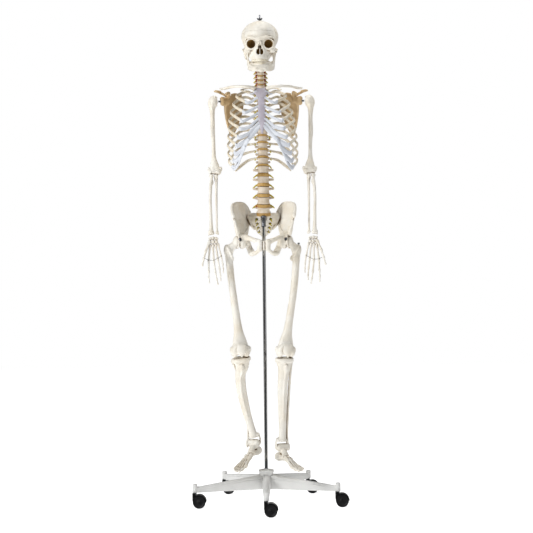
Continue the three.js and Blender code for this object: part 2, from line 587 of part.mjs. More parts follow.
function humerus(name, s) {
  const [from, to] = [shoulderJoint(s), mirrored(ARMS[name].elbow, s)];
  const length = lengthOf(from, to);
  const line = [[s * 6, 0, -8], [s * 6, 0, -50], [s * 2, 2, -150], [0, 2, -length + 30], [0, 0, -length + 5]];
  const body = join([
    ball([0, 0, 0], 22),
    bar(line, [[12, 12], [8.5, 9], [7, 7.5], [13, 7.5], [22, 5.5]], { steps: 6 }),
    ball([s * 12, -8, -4], [11, 12, 16]),
    acrossX([-20 * s, 0, -length], 8.4, 40 * s, 8),
  ]);
  const boltRoom = acrossX([-s * 16, 0, 0], 6.5, -s * 20, 8);
  return place(mesh(`${name}_humerus`, body.subtract(boltRoom), "bone"), from, to, [1, 0, 0]);
}

function forearm(name, s) {
  const [from, to] = [mirrored(ARMS[name].elbow, s), mirrored(ARMS[name].wrist, s)];
  const length = lengthOf(from, to);
  const radiusLine = [[13, -2, -12], [13, -2, -28], [17, 0, -90], [12, 0, -length + 28], [11, 0, -length + 5]];
  const ulnaLine = [[-8, 13, -2], [-8, 12, -22], [-9, 4, -80], [-12, 0, -length + 40], [-14, 3, -length + 9]];
  const beakLine = [[-8, 12, 4], [-8, 15, -14], [-8, -4, -16]];
  const shaft = { sides: 5, steps: 6 };
  const radius = bar(allMirrored(radiusLine, s), [[9, 9], [7, 7], [6.5, 6.5], [8, 6.5], [13, 8.5]], shaft);
  const ulna = bar(allMirrored(ulnaLine, s), [[10, 5], [8, 7], [6.5, 8], [5, 5], [7, 7]], shaft);
  const beak = bar(allMirrored(beakLine, s), [[9, 4], [8.5, 5], [8, 4]], { sides: 4, steps: 2 });
  const elbowRoom = acrossX([-26 * s, 0, 0], 10, 52 * s, 10);
  return [
    place(mesh(`${name}_radius`, radius, "bone"), from, to, [1, 0, 0]),
    place(mesh(`${name}_ulna`, join([ulna, beak]).subtract(elbowRoom), "bone"), from, to, [1, 0, 0]),
  ];
}

function hand(name, s) {
  const { wrist, tilt } = ARMS[name];
  const from = mirrored(wrist, s);
  const down = [from[0] - s * tilt, from[1] - 16, from[2] - 100];
  const palm = bar([[s * 2, 0, -6], [s * 2, 0, -18], [s * 3, 0, -36]], [[14, 7], [19, 8], [22, 7]], { steps: 2 });
  const fingers = [
    [[20, -4, -22], [34, -10, -50], [44, -14, -80], [52, -15, -104]],
    [[18, 0, -30], [28, 0, -84], [31, -3, -124], [32, -5, -166]],
    [[7, 0, -30], [9, 0, -86], [6, -3, -130], [2, -6, -174]],
    [[-3, 0, -30], [-6, 0, -82], [-10, -3, -124], [-9, -5, -160]],
    [[-12, 0, -30], [-19, 0, -76], [-23, -3, -106], [-21, -5, -134]],
  ];
  const section = [[5.5, 5], [4.6, 5], [4, 4], [2.4, 2.4]];
  const rays = fingers.map((line) => bar(allMirrored(line, s), section, { sides: 4, steps: 3 }));
  return place(mesh(`${name}_hand`, join([palm, ...rays]), "bone"), from, down, [1, 0, 0]);
}

// The metal fitting that holds a ball joint, sunk in the inner end of the ball.
function bolt(name, s, { radius, reach }, [from, to, hinge]) {
  const head = acrossX([-s * (reach - BOLT.head), 0, 0], radius, -s * BOLT.head, 8);
  const shank = acrossX([-s * BOLT.start, 0, 0], radius / 2, -s * (reach - BOLT.start - 1), 8);
  return place(mesh(name, head.add(shank), "steel"), from, to, hinge);
}

// A leg's joints on its own side, and the axis its knee turns on.
function leg(name, s) {
  const { hip, knee, ankle } = LEGS[name];
  const turn = radians(KNEE_TURN[name]);
  return {
    hip: mirrored(hip, s),
    knee: mirrored(knee, s),
    ankle: mirrored(ankle, s),
    axis: [Math.cos(turn), Math.sin(turn), 0],
  };
}

function thigh(name, s) {
  const { hip, knee, axis } = leg(name, s);
  const length = lengthOf(hip, knee);
  const shaft = [[38, 4, -28], [36, 2, -70], [25, -6, -190], [9, 2, -length + 60], [3, 2, -length + 8]];
  const condyle = (d) => acrossX([s * 3 + d * 11, 0, -length], 21, d * 13, 10);
  const body = join([
    ball([0, 0, 0], 23, 10, 6),
    bar(allMirrored(shaft, s), [[15, 13], [12.5, 12], [10.5, 11.5], [13, 12], [31, 16]], { steps: 6 }),
    bar([[s * 4, 0, -2], [s * 36, 2, -30]], [[13, 13], [15, 13]], { steps: 1, across: [0, 1, 0] }),
    bar([[s * 47, 6, -13], [s * 45, 6, -40]], [[7, 10], [10, 13]], { sides: 5, steps: 1 }),
    condyle(1),
    condyle(-1),
  ]);
  const kneecap = ball([s * 2, -30, -length + 6], [19, 7, 20], 8, 5);
  const boltRoom = acrossX([-s * 16, 0, 0], 7.5, -s * 20, 8);
  return [
    place(mesh(`${name}_femur`, body.subtract(boltRoom), "bone"), hip, knee, axis),
    place(mesh(`${name}_patella`, kneecap, "bone"), hip, knee, axis),
  ];
}

function lowerLeg(name, s) {
  const { knee, ankle, axis } = leg(name, s);
  const { bow, top, inward, back } = SHIN[name];
  const length = lengthOf(knee, ankle);
  const shin = [[top, 3, -24], [top, 3, -38], [bow * 0.8, 2, -80], [bow, 2, -150], [bow * 0.5, 2, -length + 110],
    [-2, 1, -length + 45], [-3, 0, -length + 13]];
  const calf = [[31, 20, -32], [30, 18, -46], [27 - inward, 12 + back, -120], [21 - inward, 8 + back, -length + 80],
    [19 - inward / 3, 5 + back / 3, -length + 22], [23, 4, -length - 8]];
  const shinSection = [[29, 20], [25, 17], [17, 14], [16, 12.5], [13, 11.5], [12.5, 12], [20, 15]];
  const tibia = bar(allMirrored(shin, s), shinSection, { steps: 7 });
  const fibula = bar(allMirrored(calf, s), [[8, 8], [6, 6], [5, 5], [5, 5], [6, 9], [4, 7]], { sides: 5, steps: 6 });
  const ankleLine = [[-s * 20, 0, -length + 26], [-s * 22, 0, -length]];
  const malleolus = bar(ankleLine, [[6, 10], [4, 7]], { sides: 5, steps: 1 });
  const beside = fibula.translate([-s * 0.8, 0, 0]); // room for the fibula in the side of the tibia
  const whole = join([tibia, malleolus]).subtract(ball([0, 0, -length], 17)).subtract(join([fibula, beside]));
  return [
    place(mesh(`${name}_tibia`, whole, "bone"), knee, ankle, axis),
    place(mesh(`${name}_fibula`, fibula, "bone"), knee, ankle, axis),
  ];
}

function foot(name, s) {
  const neck = bar([[0, 8, -10], [-s * 4, -34, -19]], [[14, 11], [13, 10]], { steps: 1 });
  const talus = ball([0, 0, 0], 14).add(neck);
  const heelLine = [[4, -26, -36], [4, 6, -37], [3, 38, -43], [3, 52, -45]];
  const heel = bar(allMirrored(heelLine, s), [[13, 11], [14, 17], [13, 16], [11, 13]], { steps: 3 });
  const tarsusLine = [[-1, -24, -26], [0, -56, -34], [2, -72, -38]];
  const tarsus = bar(allMirrored(tarsusLine, s), [[20, 13], [25, 11], [26, 9]], { steps: 2 });
  const toes = [ // the points of each ray, and its half-width
    { line: [[-15, -68, -36], [-22, -124, -50], [-19, -152, -53], [-16, -173, -55]], wide: 7 },
    { line: [[-6, -70, -34], [-10, -128, -50], [-8, -154, -53], [-6, -168, -56]], wide: 5 },
    { line: [[2, -68, -37], [1, -122, -51], [3, -146, -54], [4, -160, -56]], wide: 4.6 },
    { line: [[11, -64, -41], [12, -113, -52], [12, -135, -55], [12, -148, -56]], wide: 4.4 },
    { line: [[20, -54, -47], [22, -102, -54], [22, -122, -55], [21, -134, -57]], wide: 4.6 },
  ];
  const section = (w) => [[w, w], [w, w], [w * 0.9, w * 0.8], [w * 0.8, w * 0.5]];
  const rays = toes.map(({ line, wide }) => bar(allMirrored(line, s), section(wide), { sides: 4, steps: 3 }));
  const piece = mesh(`${name}_foot`, join([talus, heel, tarsus, ...rays]), "bone");
  const [turn, tilt] = FOOT_TURN[name].map(radians);
  piece.rotation.set(tilt, 0, turn * s, "ZXY");
  piece.position.set(...leg(name, s).ankle);
  return piece;
}

// ---- Assembly ----
const skeleton = new THREE.Group();
skeleton.position.set(POLE_AXIS[0], POLE_AXIS[1], 0);
const head = new THREE.Group();
head.position.x = HEAD.side;
head.add(atlas(), ...skull(), mandible());
skeleton.add(...stand(), ...casters(), ...spine(), ...thoracicSegments(), sternum(), ...pelvis(), head);
for (const [name, s] of [["right", -1], ["left", 1]]) {
  const { hip, knee, axis } = leg(name, s);
  const arm = [shoulderJoint(s), mirrored(ARMS[name].elbow, s), [1, 0, 0]];
  skeleton.add(
    ...shoulderGirdle(name, s),
    bolt(`${name}_shoulder_bolt`, s, { radius: BOLT.shoulder, reach: BOLT.shoulderReach }, arm),
    humerus(name, s),
    ...forearm(name, s),
    hand(name, s),
    bolt(`${name}_hip_bolt`, s, { radius: BOLT.hip, reach: BOLT.hipReach }, [hip, knee, axis]),
    ...thigh(name, s),
    ...lowerLeg(name, s),
    foot(name, s),
  );
}
const model = new THREE.Group();
model.add(skeleton);

export default model;
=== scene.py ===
"""Looks of a life-size teaching skeleton on a pelvis-mounted pole with a five-legged rolling base.

The frame gives every joint and CAD box. Bones are modelled like clay, as distance fields in millimetres:
strokes are blended together or cut away on a grid, and the grid's zero surface becomes the mesh.
X is the skeleton's left, -Y its front and Z up. Limb bones are modelled once, as left bones in the frame
of their own joint, and mirrored for the right side.
"""
import json
import math

import bmesh
import bpy
import numpy as np
import openvdb
from mathutils import Euler, Matrix, Vector

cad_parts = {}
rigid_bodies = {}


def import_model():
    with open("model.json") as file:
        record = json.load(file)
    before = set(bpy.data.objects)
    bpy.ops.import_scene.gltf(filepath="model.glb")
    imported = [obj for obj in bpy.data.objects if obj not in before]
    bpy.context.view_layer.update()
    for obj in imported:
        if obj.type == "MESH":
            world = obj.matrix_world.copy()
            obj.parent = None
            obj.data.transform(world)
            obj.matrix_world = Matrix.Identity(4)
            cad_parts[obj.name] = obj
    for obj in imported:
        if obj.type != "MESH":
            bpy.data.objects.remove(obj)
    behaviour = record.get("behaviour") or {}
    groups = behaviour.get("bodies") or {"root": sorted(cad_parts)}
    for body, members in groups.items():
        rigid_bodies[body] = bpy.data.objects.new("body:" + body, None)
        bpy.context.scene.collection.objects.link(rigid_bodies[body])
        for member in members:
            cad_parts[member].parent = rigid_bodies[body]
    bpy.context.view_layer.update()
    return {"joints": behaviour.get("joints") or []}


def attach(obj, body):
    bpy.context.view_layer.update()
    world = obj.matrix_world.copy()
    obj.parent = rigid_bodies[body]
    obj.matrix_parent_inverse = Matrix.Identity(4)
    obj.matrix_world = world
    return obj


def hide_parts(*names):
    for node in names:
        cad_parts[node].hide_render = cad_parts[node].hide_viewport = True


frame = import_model()
JOINTS = {joint["name"]: joint for joint in frame["joints"]}
POLE = Vector(JOINTS["torso_turn"]["pos_m"][:2] + [0.0])  # the pole's foot; bones are measured from it
MM = 0.001
FAR = 40.0  # distance given to cells that no stroke reaches
SIDES = {"right": -1, "left": 1}
LEAN, LEAN_FROM = 0.02, 1250  # sideways lean of the trunk in mm per mm, above this height
HEAD_SIDE = -7  # how far that lean has moved the head


# ---- Clay ----
def spline(rows, steps):
    """Rows of numbers interpolated smoothly, with `steps` pieces to each span."""
    rows = np.array(rows, float)
    padded = np.vstack([2 * rows[0] - rows[1], rows, 2 * rows[-1] - rows[-2]])
    made = []
    for i in range(len(rows) - 1):
        a, b, c, d = padded[i:i + 4]
        for t in np.arange(steps) / steps:
            made.append(b + 0.5 * t * ((c - a) + t * ((2 * a - 5 * b + 4 * c - d) + t * (3 * b - a - 3 * c + d))))
    return np.array(made + [rows[-1]])


def unit(v):
    v = np.array(v, float)
    return v / np.linalg.norm(v)


def radii_rows(radii, count):
    """One pair of half-widths for each of `count` points, from a number, a pair, or a list of either."""
    if np.isscalar(radii) or isinstance(radii, tuple):
        radii = [radii] * count
    return [(r, r) if np.isscalar(r) else r for r in radii]


def ellipsoid_distance(u, v, w, ru, rv, rw):
    k0 = np.sqrt((u / ru) ** 2 + (v / rv) ** 2 + (w / rw) ** 2)
    k1 = np.sqrt((u / ru ** 2) ** 2 + (v / rv ** 2) ** 2 + (w / rw ** 2) ** 2) + 1e-6
    return k0 * (k0 - 1) / k1


def segment_distance(grid, a, b, across):
    """Distance to a straight rod of elliptical section with round ends. a and b hold x, y, z and two radii."""
    along = b[:3] - a[:3]
    length = max(np.linalg.norm(along), 1e-6)
    along = along / length
    wide = unit(across - along * (across @ along))
    deep = np.cross(along, wide)
    offset = [grid[i] - a[i] for i in range(3)]
    run, u, v = [sum(offset[i] * axis[i] for i in range(3)) for axis in (along, wide, deep)]
    t = np.clip(run / length, 0, 1)
    ru, rv = a[3] + (b[3] - a[3]) * t, a[4] + (b[4] - a[4]) * t
    return ellipsoid_distance(u, v, run - t * length, ru, rv, np.minimum(ru, rv))


def triangle_distance(grid, a, b, c):
    """Distance to a triangle whose corners hold x, y, z and a half-thickness."""
    p = np.stack(np.broadcast_arrays(*grid), -1)
    ab, ac, ap = b[:3] - a[:3], c[:3] - a[:3], p - a[:3]
    normal = np.cross(ab, ac)
    area = normal @ normal
    v = np.cross(ap, ac) @ normal / area
    w = np.cross(ab, ap) @ normal / area
    height = np.abs(ap @ normal) / math.sqrt(area)
    best = np.where((v >= 0) & (w >= 0) & (v + w <= 1), height, FAR)
    thick = a[3] + np.clip(v, 0, 1) * (b[3] - a[3]) + np.clip(w, 0, 1) * (c[3] - a[3])
    for one, two in ((a, b), (b, c), (c, a)):
        edge = two[:3] - one[:3]
        t = np.clip((p - one[:3]) @ edge / (edge @ edge), 0, 1)
        best = np.minimum(best, np.linalg.norm(p - one[:3] - t[..., None] * edge, axis=-1))
    return best - thick


class Clay:
    """Strokes that become one closed mesh. Later strokes are blended into, or cut from, the earlier ones."""

    def __init__(self, cell):
        self.cell = cell
        self.strokes = []

    def _add(self, low, high, parts, blend, cut):
        self.strokes.append((np.array(low), np.array(high), parts, blend, cut))
        return self

    def rope(self, points, radii, across=(1, 0, 0), blend=3.0, cut=False, steps=4):
        """A rod along a smooth line. radii: (half-width along `across`, half-width square to it) at each point."""
        rows = [[*p, *r] for p, r in zip(points, radii_rows(radii, len(points)))]
        rows = spline(rows, steps) if len(rows) > 2 else np.array(rows, float)
        rows[:, 3:] = np.maximum(rows[:, 3:], 0.4)
        reach = rows[:, 3:].max(1)[:, None]
        axis = np.array(across, float)
        parts = []
        for a, b, ra, rb in zip(rows, rows[1:], reach, reach[1:]):
            size = max(ra, rb)
            box = np.minimum(a[:3], b[:3]) - size, np.maximum(a[:3], b[:3]) + size
            parts.append((*box, lambda grid, a=a, b=b: segment_distance(grid, a, b, axis)))
        low, high = (rows[:, :3] - reach).min(0), (rows[:, :3] + reach).max(0)
        return self._add(low, high, parts, blend, cut)

    def ball(self, centre, radii, turn=(0, 0, 0), blend=3.0, cut=False):
        """An ellipsoid, turned by degrees about X, Y and Z."""
        radii = np.array([radii] * 3 if np.isscalar(radii) else radii, float)
        centre = np.array(centre, float)
        axes = np.array(Matrix.Identity(3) if not any(turn) else euler(turn)).T

        def distance(grid):
            offset = [grid[i] - centre[i] for i in range(3)]
            u, v, w = [sum(offset[i] * axis[i] for i in range(3)) for axis in axes]
            return ellipsoid_distance(u, v, w, *radii)

        size = radii.max() if any(turn) else radii
        return self._add(centre - size, centre + size, [(centre - size, centre + size, distance)], blend, cut)

    def drum(self, centre, half_sizes, waist=0.0, edge=2.0, dent=0.0, blend=2.0, cut=False):
        """An upright elliptical drum with rounded edges, a waist, and a hollow in its back."""
        centre = np.array(centre, float)
        size = np.array(half_sizes, float)

        def distance(grid):
            u, v, w = [grid[i] - centre[i] for i in range(3)]
            slim = 1 - waist * (1 - np.minimum((w / size[2]) ** 2, 1))
            round_ = np.sqrt((u / size[0]) ** 2 + (v / size[1]) ** 2) + 1e-6
            back = dent * np.exp(-(u / (0.45 * size[0])) ** 2) * np.clip(v / size[1], 0, 1)
            radial = (round_ - slim) * min(size[0], size[1]) + back + edge
            axial = np.abs(w) - size[2] + edge
            inside = np.minimum(np.maximum(radial, axial), 0)
            return inside + np.sqrt(np.maximum(radial, 0) ** 2 + np.maximum(axial, 0) ** 2) - edge

        return self._add(centre - size, centre + size, [(centre - size, centre + size, distance)], blend, cut)

    def sheet(self, lines, thickness, blend=3.0, cut=False, rows=6, columns=4):
        """A curved plate through lines of points. thickness: one half-thickness, or one for each line."""
        thick = [thickness] * len(lines) if np.isscalar(thickness) else thickness
        ribs = [spline([[*p, t] for p in line], columns) for line, t in zip(lines, thick)]
        shortest = min(len(rib) for rib in ribs)
        ribs = [np.array([rib[round(i * (len(rib) - 1) / (shortest - 1))] for i in range(shortest)]) for rib in ribs]
        if len(ribs) > 2:
            net = np.stack([spline([rib[i] for rib in ribs],
                                   max(1, rows // len(ribs))) for i in range(shortest)])
        else:
            net = np.stack([[ribs[0][i] + (ribs[1][i] - ribs[0][i]) * t for t in np.linspace(0, 1, rows)]
                            for i in range(shortest)])
        parts = []
        for i in range(net.shape[0] - 1):
            for j in range(net.shape[1] - 1):
                a, b, c, d = net[i, j], net[i + 1, j], net[i + 1, j + 1], net[i, j + 1]
                for corners in ((a, b, c), (a, c, d)):
                    stack = np.array(corners)
                    box = stack[:, :3].min(0) - stack[:, 3].max(), stack[:, :3].max(0) + stack[:, 3].max()
                    parts.append((*box, lambda grid, k=corners: triangle_distance(grid, *k)))
        flat = net.reshape(-1, 4)
        reach = flat[:, 3].max()
        return self._add(flat[:, :3].min(0) - reach, flat[:, :3].max(0) + reach, parts, blend, cut)

    def field(self, low, high, function):
        """A stroke given by any function of the grid that changes the distances so far."""
        self.strokes.append((np.array(low, float), np.array(high, float), function, None, None))
        return self

    def mesh(self, roughness=0.0, seed=1):
        """(vertices, faces) of the finished shape in millimetres. roughness is the height of its slow unevenness."""
        cell = self.cell
        solid_strokes = [s for s in self.strokes if s[3] is not None and not s[4]]
        low = np.floor((min_of(s[0] for s in solid_strokes)) / cell - 3) * cell
        high = max_of(s[1] for s in solid_strokes) + 3 * cell
        count = np.ceil((high - low) / cell).astype(int) + 1
        axes = [low[i] + cell * np.arange(count[i]) for i in range(3)]
        total = np.full(count, FAR, np.float32)

        def window(stroke_low, stroke_high, margin):
            first = np.clip(np.floor((stroke_low - margin - low) / cell), 0, count - 1).astype(int)
            last = np.clip(np.ceil((stroke_high + margin - low) / cell) + 1, 1, count).astype(int)
            return first, np.maximum(last, first + 1)

        def grid_of(first, last):
            return [axes[i][first[i]:last[i]].astype(np.float32).reshape([-1 if k == i else 1 for k in range(3)])
                    for i in range(3)]

        for stroke_low, stroke_high, parts, blend, cut in self.strokes:
            if blend is None:
                first, last = window(stroke_low, stroke_high, 0)
                where = tuple(slice(a, b) for a, b in zip(first, last))
                total[where] = parts(total[where], grid_of(first, last))
                continue
            margin = blend + 2.5 * cell
            first, last = window(stroke_low, stroke_high, margin)
            own = np.full(last - first, FAR, np.float32)
            for part_low, part_high, distance in parts:
                a, b = window(part_low, part_high, margin)
                a, b = np.maximum(a, first), np.minimum(b, last)
                if (b <= a).any():
                    continue
                where = tuple(slice(p, q) for p, q in zip(a - first, b - first))
                own[where] = np.minimum(own[where], distance(grid_of(a, b)))
            where = tuple(slice(p, q) for p, q in zip(first, last))
            total[where] = carve(total[where], own, blend) if cut else merge(total[where], own, blend)
        if roughness:
            total += roughness * unevenness(grid_of(np.zeros(3, int), count), seed)
        volume = openvdb.FloatGrid(FAR)
        volume.copyFromArray(total)
        vertices, quads = volume.convertToQuads(0.0)
        return outward(vertices.astype(float) * cell + low, quads.astype(int))


def min_of(corners):
    return np.min(np.array(list(corners)), 0)


def max_of(corners):
    return np.max(np.array(list(corners)), 0)


def euler(degrees):
    return Euler([math.radians(d) for d in degrees]).to_matrix()


def merge(a, b, blend):
    """The union of two fields, with a fillet of about `blend`."""
    h = np.maximum(blend - np.abs(a - b), 0) / max(blend, 1e-6)
    return np.minimum(a, b) - h * h * blend / 4


def carve(a, b, blend):
    """Field a with b taken away."""
    return -merge(-a, b, blend)


def unevenness(grid, seed):
    """Slow waves between about -1 and 1, the same for the same seed."""
    rng = np.random.default_rng(seed)
    total = 0.0
    for _ in range(7):
        direction = unit(rng.normal(size=3)) * rng.uniform(0.15, 0.45)
        phase = rng.uniform(0, 2 * math.pi)
        total = total + np.sin(sum(grid[i] * direction[i] for i in range(3)) + phase)
    return (total / 3.5).astype(np.float32)


def outward(vertices, quads):
    """The faces turned to point out, by the sign of the enclosed volume."""
    a, b, c, d = [vertices[quads[:, i]] for i in range(4)]
    volume = np.einsum("ij,ij->i", a, np.cross(b, c)).sum() + np.einsum("ij,ij->i", a, np.cross(c, d)).sum()
    return vertices, (quads if volume > 0 else quads[:, ::-1])


# ---- Pieces ----
def limb_matrix(start, end, across, side):
    """From the frame of a left limb bone in mm, its joint at the origin and its length down -Z, to the row's frame.
    A right bone's frame is mirrored."""
    up = (start - end).normalized()
    wide = (across - up * across.dot(up)).normalized()
    deep = up.cross(wide)
    turn = Matrix((wide * side, deep, up)).transposed().to_4x4()
    return Matrix.Translation(start) @ turn @ Matrix.Scale(MM, 4)


TRUNK = Matrix.Translation(POLE) @ Matrix.Scale(MM, 4)
HEAD = Matrix.Translation((HEAD_SIDE * MM, 0, 0)) @ TRUNK


def mesh_of(name, shape):
    """A smooth mesh from (vertices, faces) in the row's frame. Faces are an array of quads or a list."""
    vertices, faces = shape
    mesh = bpy.data.meshes.new(name)
    if isinstance(faces, np.ndarray):
        mesh.vertices.add(len(vertices))
        mesh.vertices.foreach_set("co", vertices.astype(np.float32).ravel())
        mesh.loops.add(faces.size)
        mesh.loops.foreach_set("vertex_index", faces.astype(np.int32).ravel())
        mesh.polygons.add(len(faces))
        mesh.polygons.foreach_set("loop_start", np.arange(len(faces), dtype=np.int32) * 4)
        mesh.update(calc_edges=True)
    else:
        mesh.from_pydata(vertices.tolist(), [], faces)
    mesh.polygons.foreach_set("use_smooth", np.ones(len(mesh.polygons), bool))
    return mesh


def piece(name, shape, matrix, material, body, replaces=()):
    """Makes an object from a shape in mm, and lets it ride on a body."""
    mesh = mesh_of(name, moved(shape, matrix))
    mesh.materials.append(material)
    made = bpy.data.objects.new(name, mesh)
    bpy.context.scene.collection.objects.link(made)
    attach(made, body)
    if replaces:
        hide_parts(*([replaces] if isinstance(replaces, str) else replaces))
    return made


def flipped(faces):
    return faces[:, ::-1] if isinstance(faces, np.ndarray) else [face[::-1] for face in faces]


def moved(shape, matrix):
    vertices, faces = shape
    turn = np.array(matrix)
    placed = np.c_[vertices, np.ones(len(vertices))] @ turn.T[:, :3]
    return placed, (flipped(faces) if np.linalg.det(turn[:3, :3]) < 0 else faces)


def joined(shapes):
    """Several shapes as one."""
    first, faces = 0, []
    for vertices, polygons in shapes:
        faces.append(polygons + first if isinstance(polygons, np.ndarray)
                     else [[int(i) + first for i in polygon] for polygon in polygons])
        first += len(vertices)
    vertices = np.vstack([vertices for vertices, _ in shapes])
    if all(isinstance(polygons, np.ndarray) for polygons in faces):
        return vertices, np.vstack(faces)
    return vertices, [list(map(int, polygon)) for polygons in faces for polygon in polygons]


def mirrored(shape):
    vertices, faces = shape
    return vertices * (-1, 1, 1), flipped(faces)


def leaned(shape):
    """The trunk leans sideways above its waist."""
    vertices, faces = shape
    made = vertices.copy()
    made[:, 0] -= LEAN * np.maximum(0, made[:, 2] - LEAN_FROM)
    return made, faces


def lathe(profile, sides=40, centre=(0, 0, 0)):
    """A closed shape turned about Z from (radius, height) points. A radius of 0 closes it at its ends."""
    vertices, faces = [], []
    rings = []
    for radius, height in profile:
        if radius < 1e-6:
            rings.append([len(vertices)])
            vertices.append((0, 0, height))
            continue
        rings.append(list(range(len(vertices), len(vertices) + sides)))
        for i in range(sides):
            angle = 2 * math.pi * i / sides
            vertices.append((radius * math.cos(angle), radius * math.sin(angle), height))
    for low, high in zip(rings, rings[1:]):
        for i in range(sides if len(low) + len(high) > 2 else 0):
            k = (i + 1) % sides
            if len(low) == 1:
                faces.append([low[0], high[k], high[i]])
            elif len(high) == 1:
                faces.append([low[i], low[k], high[0]])
            else:
                faces.append([low[i], low[k], high[k], high[i]])
    return np.array(vertices, float) + np.array(centre, float), faces


def joint_point(name):
    return Vector(JOINTS[name]["pos_m"])


def joint_axis(name):
    return Vector(JOINTS[name]["axis"])


# ---- Materials ----
def srgb(red, green, blue):
    return [(c / 255 / 12.92 if c / 255 <= 0.04045 else ((c / 255 + 0.055) / 1.055) ** 2.4) for c in (red,
            green, blue)] + [1]


def mix_colour(tree, factor, a, b):
    node = tree.nodes.new("ShaderNodeMix")
    node.data_type = "RGBA"
    for socket, value in ((node.inputs["Factor"], factor), (node.inputs["A"], a), (node.inputs["B"], b)):
        if isinstance(value, bpy.types.NodeSocket):
            tree.links.new(value, socket)
        else:
            socket.default_value = value
    return node.outputs["Result"]


def noise(tree, coordinates, scale, detail=4.0, low=0.35, high=0.65, stretch=(1, 1, 1)):
    """Noise between 0 and 1. scale is in waves per metre."""
    mapping = tree.nodes.new("ShaderNodeMapping")
    mapping.inputs["Scale"].default_value = stretch
    tree.links.new(coordinates, mapping.inputs["Vector"])
    node = tree.nodes.new("ShaderNodeTexNoise")
    node.inputs["Scale"].default_value = scale
    node.inputs["Detail"].default_value = detail
    tree.links.new(mapping.outputs["Vector"], node.inputs["Vector"])
    spread = tree.nodes.new("ShaderNodeMapRange")
    spread.inputs["From Min"].default_value, spread.inputs["From Max"].default_value = low, high
    tree.links.new(node.outputs["Fac"], spread.inputs["Value"])
    return spread.outputs["Result"]


def looks(name, light, dark, rough=(0.4, 0.6), patch=25, grain=900, bump=0.0002, metallic=0.0, painted_shade=None,
          painted_shade_reach=0.014, glow=0.0, coat=0.0, stretch=(1, 1, 1), scatter=0.0):
    """A procedural material: slow patches between two colours, a fine grain in colour, gloss and relief, and
    painted shade: a darker colour, led by ambient occlusion, that gathers in hollows where shade falls."""
    material = bpy.data.materials.new(name)
    material.use_nodes = True
    tree = material.node_tree
    shader = tree.nodes["Principled BSDF"]
    place = tree.nodes.new("ShaderNodeTexCoord").outputs["Object"]
    patches = noise(tree, place, patch, 5, stretch=stretch)
    fine = noise(tree, place, grain, 3, stretch=stretch)
    colour = mix_colour(tree, patches, light, dark)
    speckle = tree.nodes.new("ShaderNodeMath")
    speckle.operation = "MULTIPLY"
    speckle.inputs[1].default_value = 0.25
    tree.links.new(fine, speckle.inputs[0])
    colour = mix_colour(tree, speckle.outputs[0], colour, dark)
    # Painted shade: the colour is darkened towards the given shade colour in hollows that ambient occlusion finds.
    if painted_shade:
        hollow = tree.nodes.new("ShaderNodeAmbientOcclusion")
        hollow.samples = 6
        hollow.inputs["Distance"].default_value = painted_shade_reach
        depth = tree.nodes.new("ShaderNodeMapRange")
        depth.inputs["From Min"].default_value, depth.inputs["From Max"].default_value = 0.85, 0.25
        tree.links.new(hollow.outputs["AO"], depth.inputs["Value"])
        colour = mix_colour(tree, depth.outputs["Result"], colour, painted_shade)
    tree.links.new(colour, shader.inputs["Base Color"])
    gloss = tree.nodes.new("ShaderNodeMapRange")
    gloss.inputs["To Min"].default_value, gloss.inputs["To Max"].default_value = rough
    tree.links.new(fine, gloss.inputs["Value"])
    tree.links.new(gloss.outputs["Result"], shader.inputs["Roughness"])
    shader.inputs["Metallic"].default_value = metallic
    shader.inputs["Coat Weight"].default_value = coat
    if scatter:
        shader.inputs["Subsurface Weight"].default_value = scatter
        shader.inputs["Subsurface Radius"].default_value = (0.006, 0.004, 0.002)
        shader.inputs["Subsurface Scale"].default_value = 0.5
    if glow:
        shader.inputs["Emission Strength"].default_value = glow
        tree.links.new(colour, shader.inputs["Emission Color"])
    relief = tree.nodes.new("ShaderNodeBump")
    relief.inputs["Distance"].default_value = bump
    relief.inputs["Strength"].default_value = 0.8
    tree.links.new(fine, relief.inputs["Height"])
    tree.links.new(relief.outputs["Normal"], shader.inputs["Normal"])
    return material


# Each material given a shade colour below is darkened towards it in its hollows: painted shade.
BONE = looks("bone", srgb(240, 237, 229), srgb(229, 221, 205), (0.36, 0.52), patch=18,
             painted_shade=srgb(140, 110, 66),
             painted_shade_reach=0.010)
# Painted shade: a darker copy of the bone colours for the ribs, with a wider and darker tint in hollows, standing in
# for the shade inside the rib cage.
SHADED_RIB = looks("bone_rib_shaded", srgb(236, 231, 220), srgb(214, 200, 172), (0.36, 0.52), patch=60,
            painted_shade=srgb(104, 80, 40),
            painted_shade_reach=0.03)
SPONGY = looks("bone_vertebra", srgb(230, 218, 202), srgb(212, 194, 170), (0.4, 0.55), patch=70,
               painted_shade=srgb(120, 84, 48), painted_shade_reach=0.014)
# Painted shade: brown for the linings inside the eye sockets and nose, which stand in for their shadow; its slight
# glow is painted light.
SOCKET_SHADE = looks("orbit_painted_shade", srgb(150, 118, 66), srgb(112, 84, 40), (0.5, 0.65), patch=90,
               painted_shade=srgb(104, 76, 36), glow=0.12)
